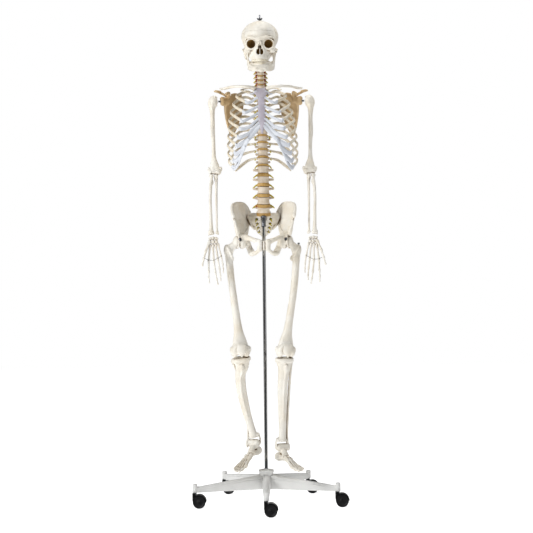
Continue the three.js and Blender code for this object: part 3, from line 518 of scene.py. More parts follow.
# Painted shade: a tan, darker copy of the bone colours for the shoulder blades, standing in for the shade they lie
# in.
SHADED_BLADE = looks("bone_blade_shaded", srgb(214, 188, 148), srgb(196, 166, 122), (0.45, 0.6), patch=22,
              painted_shade=srgb(140, 112, 76))
TOOTH = looks("tooth", srgb(240, 236, 222), srgb(232, 222, 198), (0.18, 0.3), painted_shade=srgb(150, 116, 74),
              painted_shade_reach=0.004)
CARTILAGE = looks("cartilage", srgb(222, 226, 232), srgb(206, 210, 218), (0.35, 0.5),
                  painted_shade=srgb(150, 150, 158))
STERNUM = looks("sternum_grey", srgb(200, 194, 204), srgb(182, 175, 186), (0.25, 0.4),
                painted_shade=srgb(120, 112, 118))
DISC = looks("disc", srgb(204, 168, 102), srgb(182, 142, 78), (0.45, 0.6), patch=60, painted_shade=srgb(104, 74, 34))
NERVE = looks("nerve_yellow", srgb(222, 208, 74), srgb(204, 182, 48), (0.35, 0.5), patch=80)
ARTERY = looks("artery_red", srgb(196, 34, 24), srgb(150, 20, 16), (0.25, 0.4), patch=80)
PLASTIC = looks("base_plastic", srgb(224, 224, 222), srgb(214, 214, 212), (0.28, 0.4), patch=12, bump=0.00015)
CHROME = looks("pole_chrome", srgb(206, 208, 212), srgb(186, 189, 194), (0.06, 0.14), patch=30, metallic=1.0,
               bump=0.00002, stretch=(1, 1, 0.08))
STEEL = looks("fitting_steel", srgb(150, 152, 158), srgb(108, 110, 116), (0.25, 0.42), patch=120, metallic=1.0,
              bump=0.0001)
WIRE = looks("wire", srgb(92, 90, 88), srgb(58, 56, 54), (0.35, 0.5), patch=300, metallic=0.8, bump=0.00005)
BLACK = looks("caster_black", srgb(20, 20, 22), srgb(13, 13, 15), (0.22, 0.4), patch=40, bump=0.00015)
TREAD = looks("tread_rubber", srgb(24, 24, 26), srgb(15, 15, 17), (0.45, 0.65), patch=60, bump=0.0002)


# ---- Limb bones, as left bones in the frame of their upper joint ----
def femur(length):
    knee = -length
    clay = Clay(1.5)
    clay.ball((0, 0, 0), 22.5)
    clay.rope([(4, 0, -2), (20, 1, -15), (36, 3, -30)], [(13, 15), (11.5, 13), (13, 17)], across=(0, 1, 0),
              blend=4)
    clay.ball((45, 5, -29), (9.5, 15, 18), blend=6)
    clay.ball((25, 15, -62), (7, 8, 10), blend=6)
    clay.rope([(44, 14, -24), (36, 18, -42), (26, 17, -60)], (4, 4), blend=6)
    clay.rope([(40, -10, -26), (32, -12, -44), (24, -6, -62)], (3, 3), blend=6)
    line = [(38, 4, -36), (36, 2, -75), (31, -3, -140), (25, -6, -195), (16, -4, -265), (9, 0, knee + 75),
            (5, 2, knee + 40), (3, 3, knee + 14)]
    clay.rope(line, [(15, 13), (13.2, 12.6), (12.6, 12.4), (12.6, 12.6), (13.2, 13), (16, 14), (24, 15),
                     (30, 17)],
              blend=7)
    clay.rope([(36, 16, -80), (30, 12, -130), (23, 8, -190), (15, 10, -255)],
              [(2.5, 3), (3, 4), (3, 4), (2, 3)], blend=5)
    clay.ball((-18, 1, knee + 0.5), (13.5, 21.8, 21.2), blend=5)
    clay.ball((24, 1, knee + 0.5), (13.5, 21.6, 21.2), blend=5)
    clay.ball((3, -11, knee + 9), (28, 14, 22), blend=5)
    clay.ball((-30, 0, knee + 8), (6, 10, 11), blend=5)
    clay.ball((35, 2, knee + 7), (5, 10, 10), blend=5)
    clay.rope([(4, -33, knee + 30), (3, -30, knee + 4), (3, -20, knee - 22)], (8, 8), blend=5, cut=True)
    clay.ball((3, 17, knee - 12), (12, 23, 20), blend=3, cut=True)
    clay.ball((38, 20, -12), (7, 8, 9), blend=4, cut=True)
    clay.rope([(-14, 0, 0), (-34, 0, 0)], (7.6, 7.6), blend=0.8, cut=True)
    return clay.mesh(0.25, 3)


def patella(length):
    clay = Clay(1.2)
    clay.ball((2, -32.5, 5 - length), (18.5, 7.5, 18))
    clay.rope([(2, -33, -length - 4), (2, -31.5, -length - 17)], [(11, 6), (4, 3.5)], blend=5)
    clay.rope([(-10, -33, 20 - length), (14, -33, 20 - length)], (3, 4), across=(0, 1, 0), blend=6)
    clay.ball((2, -22, 6 - length), (13, 4, 13), blend=2, cut=True)
    return clay.mesh(0.35, 5)


def tibia(length, bow, top):
    end = -length
    clay = Clay(1.5)
    clay.drum((top, 4, -31), (34, 22, 7.5), edge=4)
    line = [(top, 5, -37), (top + 0.5, 4, -56), (bow * 0.8 + 1, 2, -90), (bow, 2, -150),
            (bow * 0.5, 2, end + 110),
            (-2, 1, end + 45), (-3, 1, end + 24)]
    clay.rope(line, [(29, 18), (24, 17), (19, 15), (18, 14), (15, 12.5), (13.5, 12.5), (18, 15)], blend=7)
    clay.drum((top, 4, -12), (44, 40, 11), blend=1, cut=True)
    clay.ball((top - 17, 4, -13), (13, 17, 12), blend=2, cut=True)
    clay.ball((top + 18, 4, -13), (12, 15, 12), blend=2, cut=True)
    clay.ball((top - 4, 4, -24), (3, 8, 4), blend=3)
    clay.ball((top + 5, 6, -24), (3, 6, 3.6), blend=3)
    clay.ball((top + 2, -17, -58), (8, 6, 14), blend=6)
    clay.rope([(top + 2, -17, -66), (bow * 0.8 + 3, -13, -100), (bow + 1, -12.5, -165),
               (bow * 0.5, -10, end + 110)],
              [(3, 4), (2.6, 4), (2.4, 3.6), (2, 3)], blend=6)
    clay.rope([(top - 8, 20, -52), (bow * 0.8, 15, -90)], (4, 3), blend=6)
    clay.ball((-4, 1, end + 21), (20, 16, 12), blend=6)
    clay.rope([(-20, 0, end + 30), (-23, -2, end + 12), (-24, -2, end - 2)], [(7, 11), (6, 10), (4.5, 7)],
              blend=5)
    clay.rope([(-1, 0, end), (34, 0, end)], (16.2, 16.2), blend=1.5, cut=True)
    clay.ball((19, 4, end + 22), (5, 9, 16), blend=3, cut=True)
    return clay.mesh(0.25, 7)


def fibula(length, inward, back):
    end = -length
    clay = Clay(1.3)
    clay.ball((31, 20, -39), (8, 9, 9))
    clay.rope([(31, 20, -38), (30, 18, -54), (27 - inward, 12 + back, -120), (21 - inward, 8 + back, end + 80),
               (19 - inward / 3, 5 + back / 3, end + 26), (23, 4, end - 2)],
              [(7, 7), (5, 5.4), (4.8, 5.2), (4.6, 5.4), (5, 6.5), (5.5, 8)], blend=4)
    clay.ball((23.5, 3, end - 2), (5, 8.5, 14), blend=4)
    return clay.mesh(0.2, 9)


def humerus(length):
    elbow = -length
    clay = Clay(1.4)
    clay.ball((0, 0, 0), (21, 21, 21.5))
    clay.ball((12, -5, -5), (11, 13, 17), blend=4)
    clay.rope([(5, -15, -8), (6, -13, -24)], [(5, 5), (3, 3)], blend=4)
    clay.rope([(6, -1, -12), (6, 0, -34), (5, 0, -60), (4, 1, -110), (2, 2, -165), (1, 2, elbow + 50),
               (-1, 2, elbow + 24), (-1, 1, elbow + 8)],
              [(15, 15), (10.5, 11), (8.6, 9.2), (8.4, 8.8), (7.6, 7.8), (9.5, 7.6), (19, 6.4), (22, 6.5)],
              blend=6)
    clay.ball((10, -4, -105), (4, 5, 24), blend=6)
    clay.rope([(10, -22, -2), (8, -20, -26)], (2.2, 3), blend=3, cut=True)
    clay.rope([(-15, 0, elbow), (3, 0, elbow)], [(9.5, 9.5), (8, 8)], across=(0, 1, 0), blend=3)
    clay.rope([(-15, 0, elbow), (-18, 0, elbow)], (10.5, 10.5), across=(0, 1, 0), blend=2)
    clay.ball((14, 0, elbow), (8.5, 8.8, 8.8), blend=3)
    clay.ball((-27, 3, elbow + 11), (6, 6, 9), blend=5)
    clay.ball((23, 1, elbow + 9), (5, 6, 9), blend=5)
    clay.ball((-4, 12, elbow + 15), (10, 6, 9), blend=3, cut=True)
    clay.ball((-4, -9, elbow + 14), (8, 4.5, 6), blend=3, cut=True)
    clay.rope([(-14, 0, 0), (-32, 0, 0)], (6.4, 6.4), blend=0.8, cut=True)
    return clay.mesh(0.2, 11)


def radius_bone(length):
    end = -length
    clay = Clay(1.2)
    clay.drum((13, -1, -15.4), (10, 9.6, 4.0), edge=1.5)
    clay.rope([(13, -2, -18), (13, -1, -30), (15, 1, -44), (17.5, 0, -100), (15, 0, -150), (12, -1, end + 26),
               (11, -1, end + 10)],
              [(7.5, 7.5), (6, 6), (6.8, 6.6), (6.4, 6.2), (6.6, 6), (8.5, 6.8), (13, 8.6)], blend=3)
    clay.ball((8, 3, -38), (4.5, 5, 9), blend=4)
    clay.rope([(20, -1, end + 14), (22, -1, end + 2)], [(5, 6), (3, 4)], blend=4)
    clay.ball((10, -1, end + 1), (12, 8, 6), blend=2, cut=True)
    return clay.mesh(0.2, 13)


def ulna(length):
    end = -length
    clay = Clay(1.2)
    clay.rope([(-8, 14, 8), (-8, 15, -6), (-8, 11, -22), (-9, 7, -42), (-9.5, 4, -90), (-11, 1, -150),
               (-13, 1, end + 30),
               (-14, 1, end + 12)],
              [(9, 5.5), (8.5, 6), (8, 7.5), (6.2, 7.4), (5.6, 6.4), (4.8, 5.4), (4.6, 4.8), (6, 6)], blend=4)
    clay.rope([(-8, 6, -20), (-8, -6, -15)], [(9, 6), (8, 4)], blend=4)
    clay.ball((-14, 1, end + 13), (7, 7, 5.5), blend=3)
    clay.rope([(-18, 4, end + 12), (-19, 5, end + 7)], [(3, 3), (2, 2)], blend=3)
    clay.rope([(-26, 0, 0), (8, 0, 0)], (10.4, 10.4), across=(0, 1, 0), blend=1.5, cut=True)
    clay.ball((4, 0, -14), (8, 9, 8), blend=2, cut=True)
    return clay.mesh(0.2, 15)


def long_bone(clay, a, b, wide, gap=0.05, across=(1, 0, 0)):
    """A short finger or toe bone between two joints: broad at its base, slim, and rounded at its head."""
    a, b = np.array(a, float), np.array(b, float)
    points = [a + (b - a) * t for t in (gap, 0.16, 0.45, 0.8, 1 - gap)]
    sizes = [(wide * 1.05, wide), (wide * 0.85, wide * 0.8), (wide * 0.62, wide * 0.62),
             (wide * 0.72, wide * 0.7),
             (wide * 0.85, wide * 0.85)]
    clay.rope(points, sizes, across=across, blend=1.2, steps=3)


FINGERS = [  # knuckle points of each ray from the thumb to the little finger, and its half-width
    ([(20, -4, -24), (33, -10, -52), (43, -14, -80), (51, -15, -106)], 5.4),
    ([(17, 0, -31), (27, 0, -88), (30, -3, -126), (32, -5, -149), (32, -6, -168)], 5.0),
    ([(7, 0, -32), (9, 0, -90), (7, -3, -132), (4, -5, -158), (2, -6, -176)], 5.0),
    ([(-3, 0, -31), (-6, 0, -84), (-9, -3, -122), (-10, -5, -147), (-9, -6, -163)], 4.6),
    ([(-12, 0, -30), (-19, 0, -77), (-22, -3, -105), (-22, -5, -122), (-21, -6, -136)], 4.2),
]
CARPALS = [((14, 0, -9), (7, 6.5, 6)), ((4, -1, -8), (7, 6.5, 6.5)), ((-6, -1, -10), (6, 6, 6)),
           ((-11, -6, -13), (4, 4, 4.5)),
           ((18, -3, -20), (6, 6, 5.5)), ((11, 0, -22), (4.5, 6, 5.5)), ((4, -1, -22), (5.5, 7, 8)),
           ((-7, -1, -22), (6.5, 6.5, 6.5))]


def hand_shapes():
    """(name, shape) of a left hand: wrist bones, and the rays with and without their outer bones."""
    wrist = Clay(0.9)
    for i, (centre, size) in enumerate(CARPALS):
        wrist.ball(centre, np.array(size) * 0.97, turn=(0, 12 * (i % 3 - 1), 0), blend=0.3)
    made = [("carpals", wrist.mesh(0.35, 17))]
    for name, (line, wide) in zip(("thumb", "index", "middle", "ring", "little"), FINGERS):
        palm, tips = Clay(0.9), Clay(0.9)
        long_bone(palm, line[0], line[1], wide * 1.05, gap=0.03)
        narrow = wide * 0.92
        for k, (a, b) in enumerate(zip(line[1:], line[2:])):
            long_bone(tips, a, b, narrow * (1 - 0.14 * k))
        tips.ball(line[-1], (narrow * 0.62, 2.0, 2.6), blend=1)
        made.append((f"{name}_metacarpal", palm.mesh(0.15, 19)))
        made.append((f"{name}_phalanges", tips.mesh(0.15, 21)))
    return made


def wires():
    """The wires through the knuckles of a left hand."""
    clay = Clay(0.5)
    knuckles = [FINGERS[0][0][2]] + [ray[0][1] for ray in FINGERS[1:]]
    for a, b in zip(knuckles, knuckles[1:]):
        clay.rope([np.add(a, (0, -1, 2)), np.add(b, (0, -1, 2))], (0.7, 0.7), blend=0.3)
    for x, y, z in knuckles[1:]:
        clay.ball((x, y - 5, z + 2), 1.6, blend=0.5)
    return clay.mesh()


TOES = [
    ([(-14, -68, -33), (-21, -124, -48), (-19, -150, -51), (-16, -172, -53)], 7.4),
    ([(-5, -70, -32), (-9, -128, -49), (-8, -150, -51), (-7, -160, -53), (-6, -168, -54)], 5.0),
    ([(3, -68, -35), (1, -122, -50), (2, -142, -52), (3, -152, -54), (4, -160, -55)], 4.8),
    ([(11, -64, -40), (12, -113, -51), (12, -131, -53), (12, -140, -54), (12, -148, -55)], 4.6),
    ([(20, -54, -46), (22, -102, -53), (22, -118, -54), (22, -127, -55), (21, -134, -55)], 4.6),
]


def foot_shapes():
    """(name, shape) of the bones of a left foot."""
    ankle = Clay(1.2)
    ankle.rope([(-13, 0, 0), (13, 0, 0)], (14.5, 14.5), across=(0, 1, 0))
    ankle.rope([(0, 10, -10), (-3, -18, -13), (-5, -33, -19)], [(14, 9), (11, 9), (12, 10)], blend=5)
    ankle.ball((0, -1, -15), (14, 20, 8), blend=4)
    heel = Clay(1.3)
    heel.rope([(6, -27, -35), (5, -8, -36), (4, 18, -38), (3, 42, -42), (3, 52, -44)],
              [(11, 9), (13, 12), (11, 15), (12, 16), (10, 12)], blend=4)
    heel.ball((-9, -4, -27), (9, 9, 4), blend=5)
    heel.ball((4, 10, -26), (11, 16, 6), blend=5)
    middle = Clay(1.1)
    middle.ball((-8, -43, -25), (15, 7, 10), turn=(12, 0, 0), blend=0.3)
    middle.ball((12, -42, -38), (9, 13, 8), blend=0.3)
    for centre, size in (((-15, -59, -29), (7, 9, 8.5)), ((-4, -59, -28), (5.5, 8, 8)),
                         ((4, -57, -32), (5, 8, 7.5))):
        middle.ball(centre, size, turn=(8, 0, 0), blend=0.3)
    made = [("talus", ankle.mesh(0.3, 23)), ("calcaneus", heel.mesh(0.35, 25)),
            ("midfoot", middle.mesh(0.35, 27))]
    for number, (line, wide) in enumerate(TOES, 1):
        long_foot, tips = Clay(1.0), Clay(0.9)
        long_bone(long_foot, line[0], line[1], wide * 1.1, gap=0.02)
        for k, (a, b) in enumerate(zip(line[1:], line[2:])):
            long_bone(tips, a, b, wide * (0.95 - 0.08 * k))
        made.append((f"metatarsal_{number}", long_foot.mesh(0.2, 29)))
        made.append((f"toe_{number}", tips.mesh(0.15, 31)))
    return made


SHIN = {"right": dict(bow=17, top=3, inward=11, back=12), "left": dict(bow=-5, top=0, inward=3, back=0)}
HAND_TILT = {"right": 9, "left": 5}
FOOT_PITCH = {"right": 10, "left": 3}


def fitting(radius, reach):
    """The steel fitting in a ball joint: a flanged head on a shank inside a tight spring."""
    profile = [(0, -reach), (radius * 0.6, -reach), (radius, -reach + 0.8), (radius, -reach + 2.2),
               (radius * 0.8, -reach + 3)]
    coil = np.arange(-reach + 3.4, -17.4, 1.0)
    profile += [(radius * share, z + dz) for z in coil for share,
                dz in ((0.5, 0.0), (0.72, 0.25), (0.72, 0.55), (0.5, 0.8))]
    profile += [(radius * 0.4, -17.2), (0, -17.2)]
    vertices, faces = lathe(profile, 24)
    return vertices[:, [2, 1, 0]], flipped(faces)


def turned_shape(profile):
    """A lathed shape whose axis points forwards."""
    vertices, faces = lathe(profile, 24)
    return vertices[:, [0, 2, 1]] * (1, -1, 1), faces


def limbs():
    hand, foot = hand_shapes(), foot_shapes()
    knuckle_wires = wires()
    for side, s in SIDES.items():
        sideways = Vector((1, 0, 0))
        shoulder, elbow, wrist = [joint_point(f"{side}_{j}") for j in ("shoulder_swing", "elbow", "wrist")]
        hip, knee, ankle = [joint_point(f"{side}_{j}") for j in ("hip_swing", "knee", "ankle")]
        knee_axis = joint_axis(f"{side}_knee")
        arm = limb_matrix(shoulder, elbow, sideways, s)
        slim_arm = arm @ Matrix.Scale(0.88, 4, (1, 0, 0))
        forearm = limb_matrix(elbow, wrist, sideways, s) @ Matrix.Scale(0.8, 4, (1, 0, 0))
        down = wrist + Vector((-s * HAND_TILT[side], -16, -100)) * MM
        palm = limb_matrix(wrist, down, sideways, s)
        thigh = limb_matrix(hip, knee, knee_axis, s)
        shank = limb_matrix(knee, ankle, knee_axis, s)
        axis = joint_axis(f"{side}_ankle")
        turn = Matrix.Rotation(math.atan2(axis.y, axis.x), 4,
                               "Z") @ Matrix.Rotation(math.radians(FOOT_PITCH[side]), 4, "X")
        sole = Matrix.Translation(ankle) @ turn @ Matrix.Scale(MM, 4) @ Matrix.Scale(s, 4, (1, 0, 0))
        upper, lower = (shoulder - elbow).length / MM, (elbow - wrist).length / MM
        long_, short = (hip - knee).length / MM, (knee - ankle).length / MM
        shin = SHIN[side]
        rows = [
            ("humerus", humerus(upper), slim_arm, "upper_arm"),
            ("radius", radius_bone(lower), forearm, "forearm"),
            ("ulna", ulna(lower), forearm, "forearm"),
            ("femur", femur(long_), thigh, "thigh"),
            ("patella", patella(long_), thigh, "thigh"),
            ("tibia", tibia(short, shin["bow"], shin["top"]), shank, "lower_leg"),
            ("fibula", fibula(short, shin["inward"], shin["back"]), shank, "lower_leg"),
        ]
        for name, shape, matrix, body in rows:
            piece(f"{side}_{name}_bone", shape, matrix, BONE, f"{side}_{body}", f"{side}_{name}")
        for i, (name, shape) in enumerate(hand):
            piece(f"{side}_{name}", shape, palm, BONE, f"{side}_hand", f"{side}_hand" if i == 0 else ())
        piece(f"{side}_hand_wires", knuckle_wires, palm, WIRE, f"{side}_hand")
        for i, (name, shape) in enumerate(foot):
            piece(f"{side}_{name}", shape, sole, BONE, f"{side}_foot", f"{side}_foot" if i == 0 else ())
        for name, matrix, radius, reach in (("shoulder_bolt", arm, 5, 27), ("hip_bolt", thigh, 6, 22)):
            piece(f"{side}_{name}_fitting", fitting(radius, reach), matrix, STEEL, f"{side}_{name}",
                  f"{side}_{name}")
        clip = turned_shape([(0, -3), (5.2, -3), (6, -2.2), (6, 0), (4, 0.8), (4, 2.4), (3.2, 3), (0, 3)])
        in_front = Matrix.Translation(hip + Vector((-s * 4, -29, 6)) * MM) @ Matrix.Scale(MM, 4)
        piece(f"{side}_hip_clip", clip, in_front, STEEL, "torso")
    stud = lathe([(0, -4), (2.2, -4), (2.2, 0), (4.4, 0.6), (4.6, 2.4), (3.4, 4.2), (0, 4.6)], 24)
    piece("left_trochanter_stud", stud, thigh @ Matrix.Translation((45, 3, -10)), STEEL, "left_thigh")


limbs()


# ---- Spine: millimetres from the pole's axis ----
SACRUM_TOP = 1045
PITCHES = [36.5, 36.6, 36.6, 36, 34.5, 30, 28, 26.5, 25.4, 24.2, 23.2, 22.3, 21.4, 20.6, 19.8, 19, 18,
           15.5, 15, 15, 15, 15, 15]
VERTEBRAE = [f"L{n}" for n in range(5, 0, -1)] + [f"T{n}" for n in range(12, 0,
                                                                         -1)] + [f"C{n}" for n in range(7, 1,
                                                                                 -1)]
SPINE_LINE = np.array([(1045, 16), (1100, 5), (1136, 2), (1208, 8), (1240, 15), (1296, 28), (1345, 37),
                       (1390, 41),
                       (1430, 37), (1468, 26), (1494, 17), (1535, 5), (1565, 0), (1610, 1)], float)
DISC_DROP = 3  # a disc's middle lies this far below the line between two levels


def spine_depth(height):
    return float(np.interp(height, SPINE_LINE[:, 0], SPINE_LINE[:, 1]))


def body_size(name):
    """Half-width and half-depth of a vertebra's body, and the height of the disc below it."""
    number = int(name[1:])
    if name[0] == "L":
        return 19.6 + number * 1.05, 17, 11.5
    if name[0] == "T":
        low = (number - 1) / 11
        return 13.5 + 6.5 * low, 9.5 + 6 * low, 4.5 + 3 * low
    return 10.5 + 0.4 * (number - 2), 8, 4.6


def both(add):
    for side in (-1, 1):
        add(side)


def vertebra(name, half):
    """One vertebra around the middle of its body, upright."""
    number = int(name[1:])
    wide, deep, _ = body_size(name)
    clay = Clay(1.3 if name[0] != "C" else 1.1)
    clay.drum((0, 0, 0), (wide, deep, half), waist=0.13, edge=1.8, dent=1.5)
    if name[0] == "L":
        def side_parts(s):
            clay.rope([(s * (wide - 8), deep - 3, 4), (s * 13, deep + 12, 3)], [(4.5, 6), (4, 7)], blend=3)
            clay.rope([(s * 12, deep + 12, 2), (s * 7, deep + 20, -2), (0, deep + 25, -4)],
                      [(4, 9), (3.5, 9), (3, 9)],
                      across=(0, 1, 0), blend=3)
            reach = 37 - 0.8 * abs(number - 3)
            clay.rope([(s * 14, deep + 6, 4), (s * 26, deep + 11, 5), (s * reach, deep + 14, 6)],
                      [(3.6, 5), (2.6, 4.8), (2.2, 4)], across=(0, 1, 0), blend=3)
            clay.rope([(s * 15, deep + 13, 4), (s * 17, deep + 15, half + 9)], [(4.5, 5), (4.5, 6)], blend=2)
            clay.rope([(s * 11, deep + 18, -6), (s * 12.5, deep + 19, -half - 10)], [(4, 5), (4.5, 4.5)],
                      blend=2)
            clay.ball((s * 18, deep + 18, half + 6), 3.5, blend=2)
        both(side_parts)
        clay.rope([(0, deep + 20, -3), (0, deep + 36, -5), (0, deep + 48, -7)], [(3, 8), (2.2, 9), (3.4, 10)],
                  blend=3)
        clay.rope([(0, deep + 8, -40), (0, deep + 8, 40)], (10, 8), blend=1.5, cut=True)
    elif name[0] == "T":
        low = (number - 1) / 11
        wing, drop = 33 - 10 * low, 20 - 14 * max(0, number - 9) / 3

        def side_parts(s):
            clay.rope([(s * (wide - 5), deep - 3, 4), (s * 11, deep + 9, 4)], [(3.4, 4.5), (3.6, 5)], blend=3)
            clay.rope([(s * 11, deep + 9, 2), (s * 6, deep + 16, -1), (0, deep + 19, -3)],
                      [(3, 7), (3, 7), (2.6, 7)],
                      across=(0, 1, 0), blend=3)
            clay.rope([(s * 11, deep + 10, 4), (s * wing * 0.75, deep + 16, 6), (s * wing, deep + 19, 7)],
                      [(3.6, 4.4), (3, 3.8), (4.2, 4.6)], blend=3)
            clay.rope([(s * 11, deep + 11, 4), (s * 11, deep + 13, half + 6)], [(4.5, 2.6), (4.5, 2.4)],
                      blend=2)
            clay.rope([(s * 9, deep + 15, -4), (s * 9.5, deep + 16, -half - 6)], [(4.5, 2.6), (4.5, 2.4)],
                      blend=2)
        both(side_parts)
        clay.rope([(0, deep + 16, -3), (0, deep + 27, -3 - drop * 0.5), (0, deep + 37, -3 - drop)],
                  [(3, 6), (2.2, 4.4), (2.6, 3.4)], blend=3)
        clay.rope([(0, deep + 7.5, -40), (0, deep + 7.5, 40)], (7.5, 7), blend=1.5, cut=True)
    else:
        spread = 22 if number < 7 else 27

        def side_parts(s):
            clay.rope([(s * (wide - 2), 0, -1), (s * (wide + 6), 1, -2), (s * spread, 4, -3)],
                      [(3.4, 2.6), (2.6, 2.2), (3, 2.6)], across=(0, 1, 0), blend=2)
            clay.rope([(s * (wide - 2), 8, 1), (s * (wide + 7), 9, 0), (s * spread, 5, -3)],
                      [(3.4, 3), (2.6, 2.4), (2.6, 2.6)], across=(0, 1, 0), blend=2)
            clay.rope([(s * 15, 14, 6.5), (s * 15, 15, -6.5)], [(5.5, 4.4), (5.5, 4.4)], blend=2)
            clay.rope([(s * 14, 16, 0), (s * 7, 22, -1), (0, 25, -2)], [(2.6, 5), (2.4, 5), (2.4, 5)],
                      across=(0, 1, 0), blend=2)
            fork = 3 if number < 7 else 0.5
            tail = 33 if number < 7 else 42
            clay.rope([(0, 24, -2), (s * fork * 0.5, tail - 5, -4), (s * fork, tail, -6)],
                      [(2.6, 3.6), (2, 3), (2.2, 2.6)],
                      blend=2)
            clay.ball((s * (wide - 0.5), 0, half), (2, 7, 3.5), blend=2)
        both(side_parts)
        for s in (-1, 1):
            clay.rope([(s * 15.5, 4.5, -12), (s * 15.5, 4.5, 12)], 2.7, blend=0.6, cut=True)
        clay.rope([(0, 14.5, -20), (0, 14.5, 20)], (9.5, 7), blend=1, cut=True)
        if number == 2:
            clay.rope([(0, -1, 6), (0, 0, 14), (0, 1, 22)], [(6, 5), (4.6, 4.6), (5, 5)], blend=3)
    return clay.mesh(0.25, 33)


def upright(height, low=None, high=None):
    """Tilts a piece that belongs at a height into the curve of the spine."""
    low, high = (height - 12, height + 12) if low is None else (low, high)
    slope = (spine_depth(high) - spine_depth(low)) / (high - low)
    return Matrix.Translation((0, spine_depth(height), height)) @ Matrix.Rotation(-math.atan(slope), 4, "X")


def in_trunk(name, shape, material, replaces=(), body="torso", lean=True):
    return piece(name, leaned(shape) if lean else shape, TRUNK, material, body, replaces)


def pair_of_cad(number):
    first = number - (number + 1) % 2
    return f"thoracic_vertebrae_and_ribs_{first}_{first + 1}"


def spine():
    bottom = SACRUM_TOP
    discs, nerves = {"L": [], "T": [], "C": []}, {"L": Clay(0.9), "T": Clay(0.9), "C": Clay(0.8)}
    arteries = Clay(0.8)
    artery_line = []
    for name, pitch in zip(VERTEBRAE, PITCHES):
        wide, deep, disc = body_size(name)
        top = bottom + pitch
        disc_above = body_size("T12")[2] if name == "L1" else body_size("C7")[2] if name == "T1" else disc
        low = bottom - DISC_DROP + disc / 2 + (4 if name == "L5" else 0)
        high = top - DISC_DROP - disc_above / 2
        middle = (low + high) / 2
        shape = moved(vertebra(name, (high - low) / 2), upright(middle, low, high))
        replaced = ()
        if name in ("L5", "C7"):
            replaced = {"L5": "lumbar_spine", "C7": "cervical_spine"}[name]
        if name[0] == "T" and int(name[1:]) % 2:
            replaced = pair_of_cad(int(name[1:]))
        in_trunk(f"vertebra_{name}", shape, SPONGY, replaced)
        height = low - disc / 2
        cushion = Clay(1.2)
        cushion.drum((0, 0, 0), (wide + 0.4, deep + 0.4, disc / 2 + 0.3), waist=-0.03, edge=1.6, dent=1.5)
        discs[name[0]].append(moved(cushion.mesh(0.15, 35), upright(height)))
        y = spine_depth(height)
        strand = nerves[name[0]]
        reach = {"L": 15, "T": 10, "C": 13}[name[0]]
        for s in (-1, 1):
            strand.rope([(s * 7, y + deep + 6, height + 5), (s * (wide + 1), y + deep + 3, height + 1),
                         (s * (wide + reach * 0.6), y + deep - 1, height - 4),
                         (s * (wide + reach), y + deep - 3, height - 9)],
                        [2.4, 3.4 if name[0] == "L" else 2.7, 2.4, 2.0], blend=1)
        if name in ("C6", "C5", "C4", "C3", "C2"):
            artery_line.append((15.5, spine_depth(middle) + 4.5, middle))
        bottom = top
    for region, label in (("L", "lumbar"), ("T", "thoracic"), ("C", "neck")):
        in_trunk(f"{label}_discs", joined(discs[region]), DISC)
        in_trunk(f"{label}_nerves", nerves[region].mesh(), NERVE)
    for s in (-1, 1):
        line = [(13, 12, 1510), (14.5, 9, 1522), *artery_line, (19, 6, 1606), (19, 12, 1613)]
        arteries.rope([(s * (x + 0.8 * (-1) ** i), y, z) for i, (x, y, z) in enumerate(line)], 1.9, blend=0.5,
                      steps=5)
    in_trunk("neck_arteries", arteries.mesh(), ARTERY)
    slipped = Clay(0.8)
    height = SACRUM_TOP + PITCHES[0] - DISC_DROP
    slipped.ball((-18, spine_depth(height) + 12, height), (7, 8, 5))
    slipped.ball((-24, spine_depth(height) + 14, height - 2), (4.5, 5, 4.5), blend=2)
    in_trunk("slipped_disc", slipped.mesh(), ARTERY)


def atlas():
    height = sum(PITCHES) + SACRUM_TOP + 4
    clay = Clay(1.0)
    ring = [(18.5 * math.sin(a), 9 - 15 * math.cos(a), height) for a in np.linspace(0, 2 * math.pi, 17)]
    clay.rope(ring, (3.4, 3.6), across=(0, 0, 1), steps=2, blend=2)

    def side_parts(s):
        clay.ball((s * 17, 4, height), (7.5, 9, 6.5), blend=3)
        clay.rope([(s * 20, 6, height), (s * 27, 8, height), (s * 33, 10, height - 1)],
                  [(5, 4), (4, 3), (3.4, 3.4)],
                  across=(0, 1, 0), blend=3)
        clay.rope([(s * 26, 8, height - 12), (s * 26, 8, height + 12)], 2.8, blend=0.8, cut=True)
        clay.ball((s * 17, 4, height + 9), (6, 9, 5), blend=1, cut=True)
    both(side_parts)
    clay.ball((0, -6.5, height), (4, 3, 4.5), blend=2)
    piece("atlas_bone", clay.mesh(0.2, 37), HEAD, BONE, "atlas", "atlas")


# ---- Ribs and breastbone ----
RIB_ROWS = [  # where each rib turns at its angle, its flank and its front end
    [(40, 36, 1505), (66, 2, 1497), (40, -38, 1478)],
    [(52, 54, 1495), (88, 4, 1475), (56, -64, 1446)],
    [(60, 67, 1476), (100, 2, 1447), (66, -86, 1410)],
    [(66, 75, 1453), (109, -2, 1418), (74, -100, 1378)],
    [(70, 80, 1429), (115, -6, 1389), (80, -108, 1350)],
    [(74, 83, 1405), (118, -8, 1361), (87, -110, 1320)],
    [(77, 84, 1379), (120, -10, 1333), (94, -104, 1292)],
    [(79, 83, 1352), (121, -10, 1305), (101, -92, 1265)],
    [(80, 79, 1324), (119, -6, 1277), (106, -76, 1240)],
    [(79, 73, 1296), (115, 0, 1252), (109, -52, 1218)],
    [(70, 64, 1268), (100, 32, 1243), (110, -6, 1214)],
    [(55, 52, 1243), (82, 38, 1222), (100, 20, 1204)],
]
CARTILAGE_ENDS = [(20, -52, 1484), (18, -69, 1458), (15, -80, 1428), (15, -90, 1402), (15, -98, 1380),
                  (14, -103, 1364), (10, -107, 1353), (52, -117, 1306), (64, -114, 1282), (76, -104, 1256)]


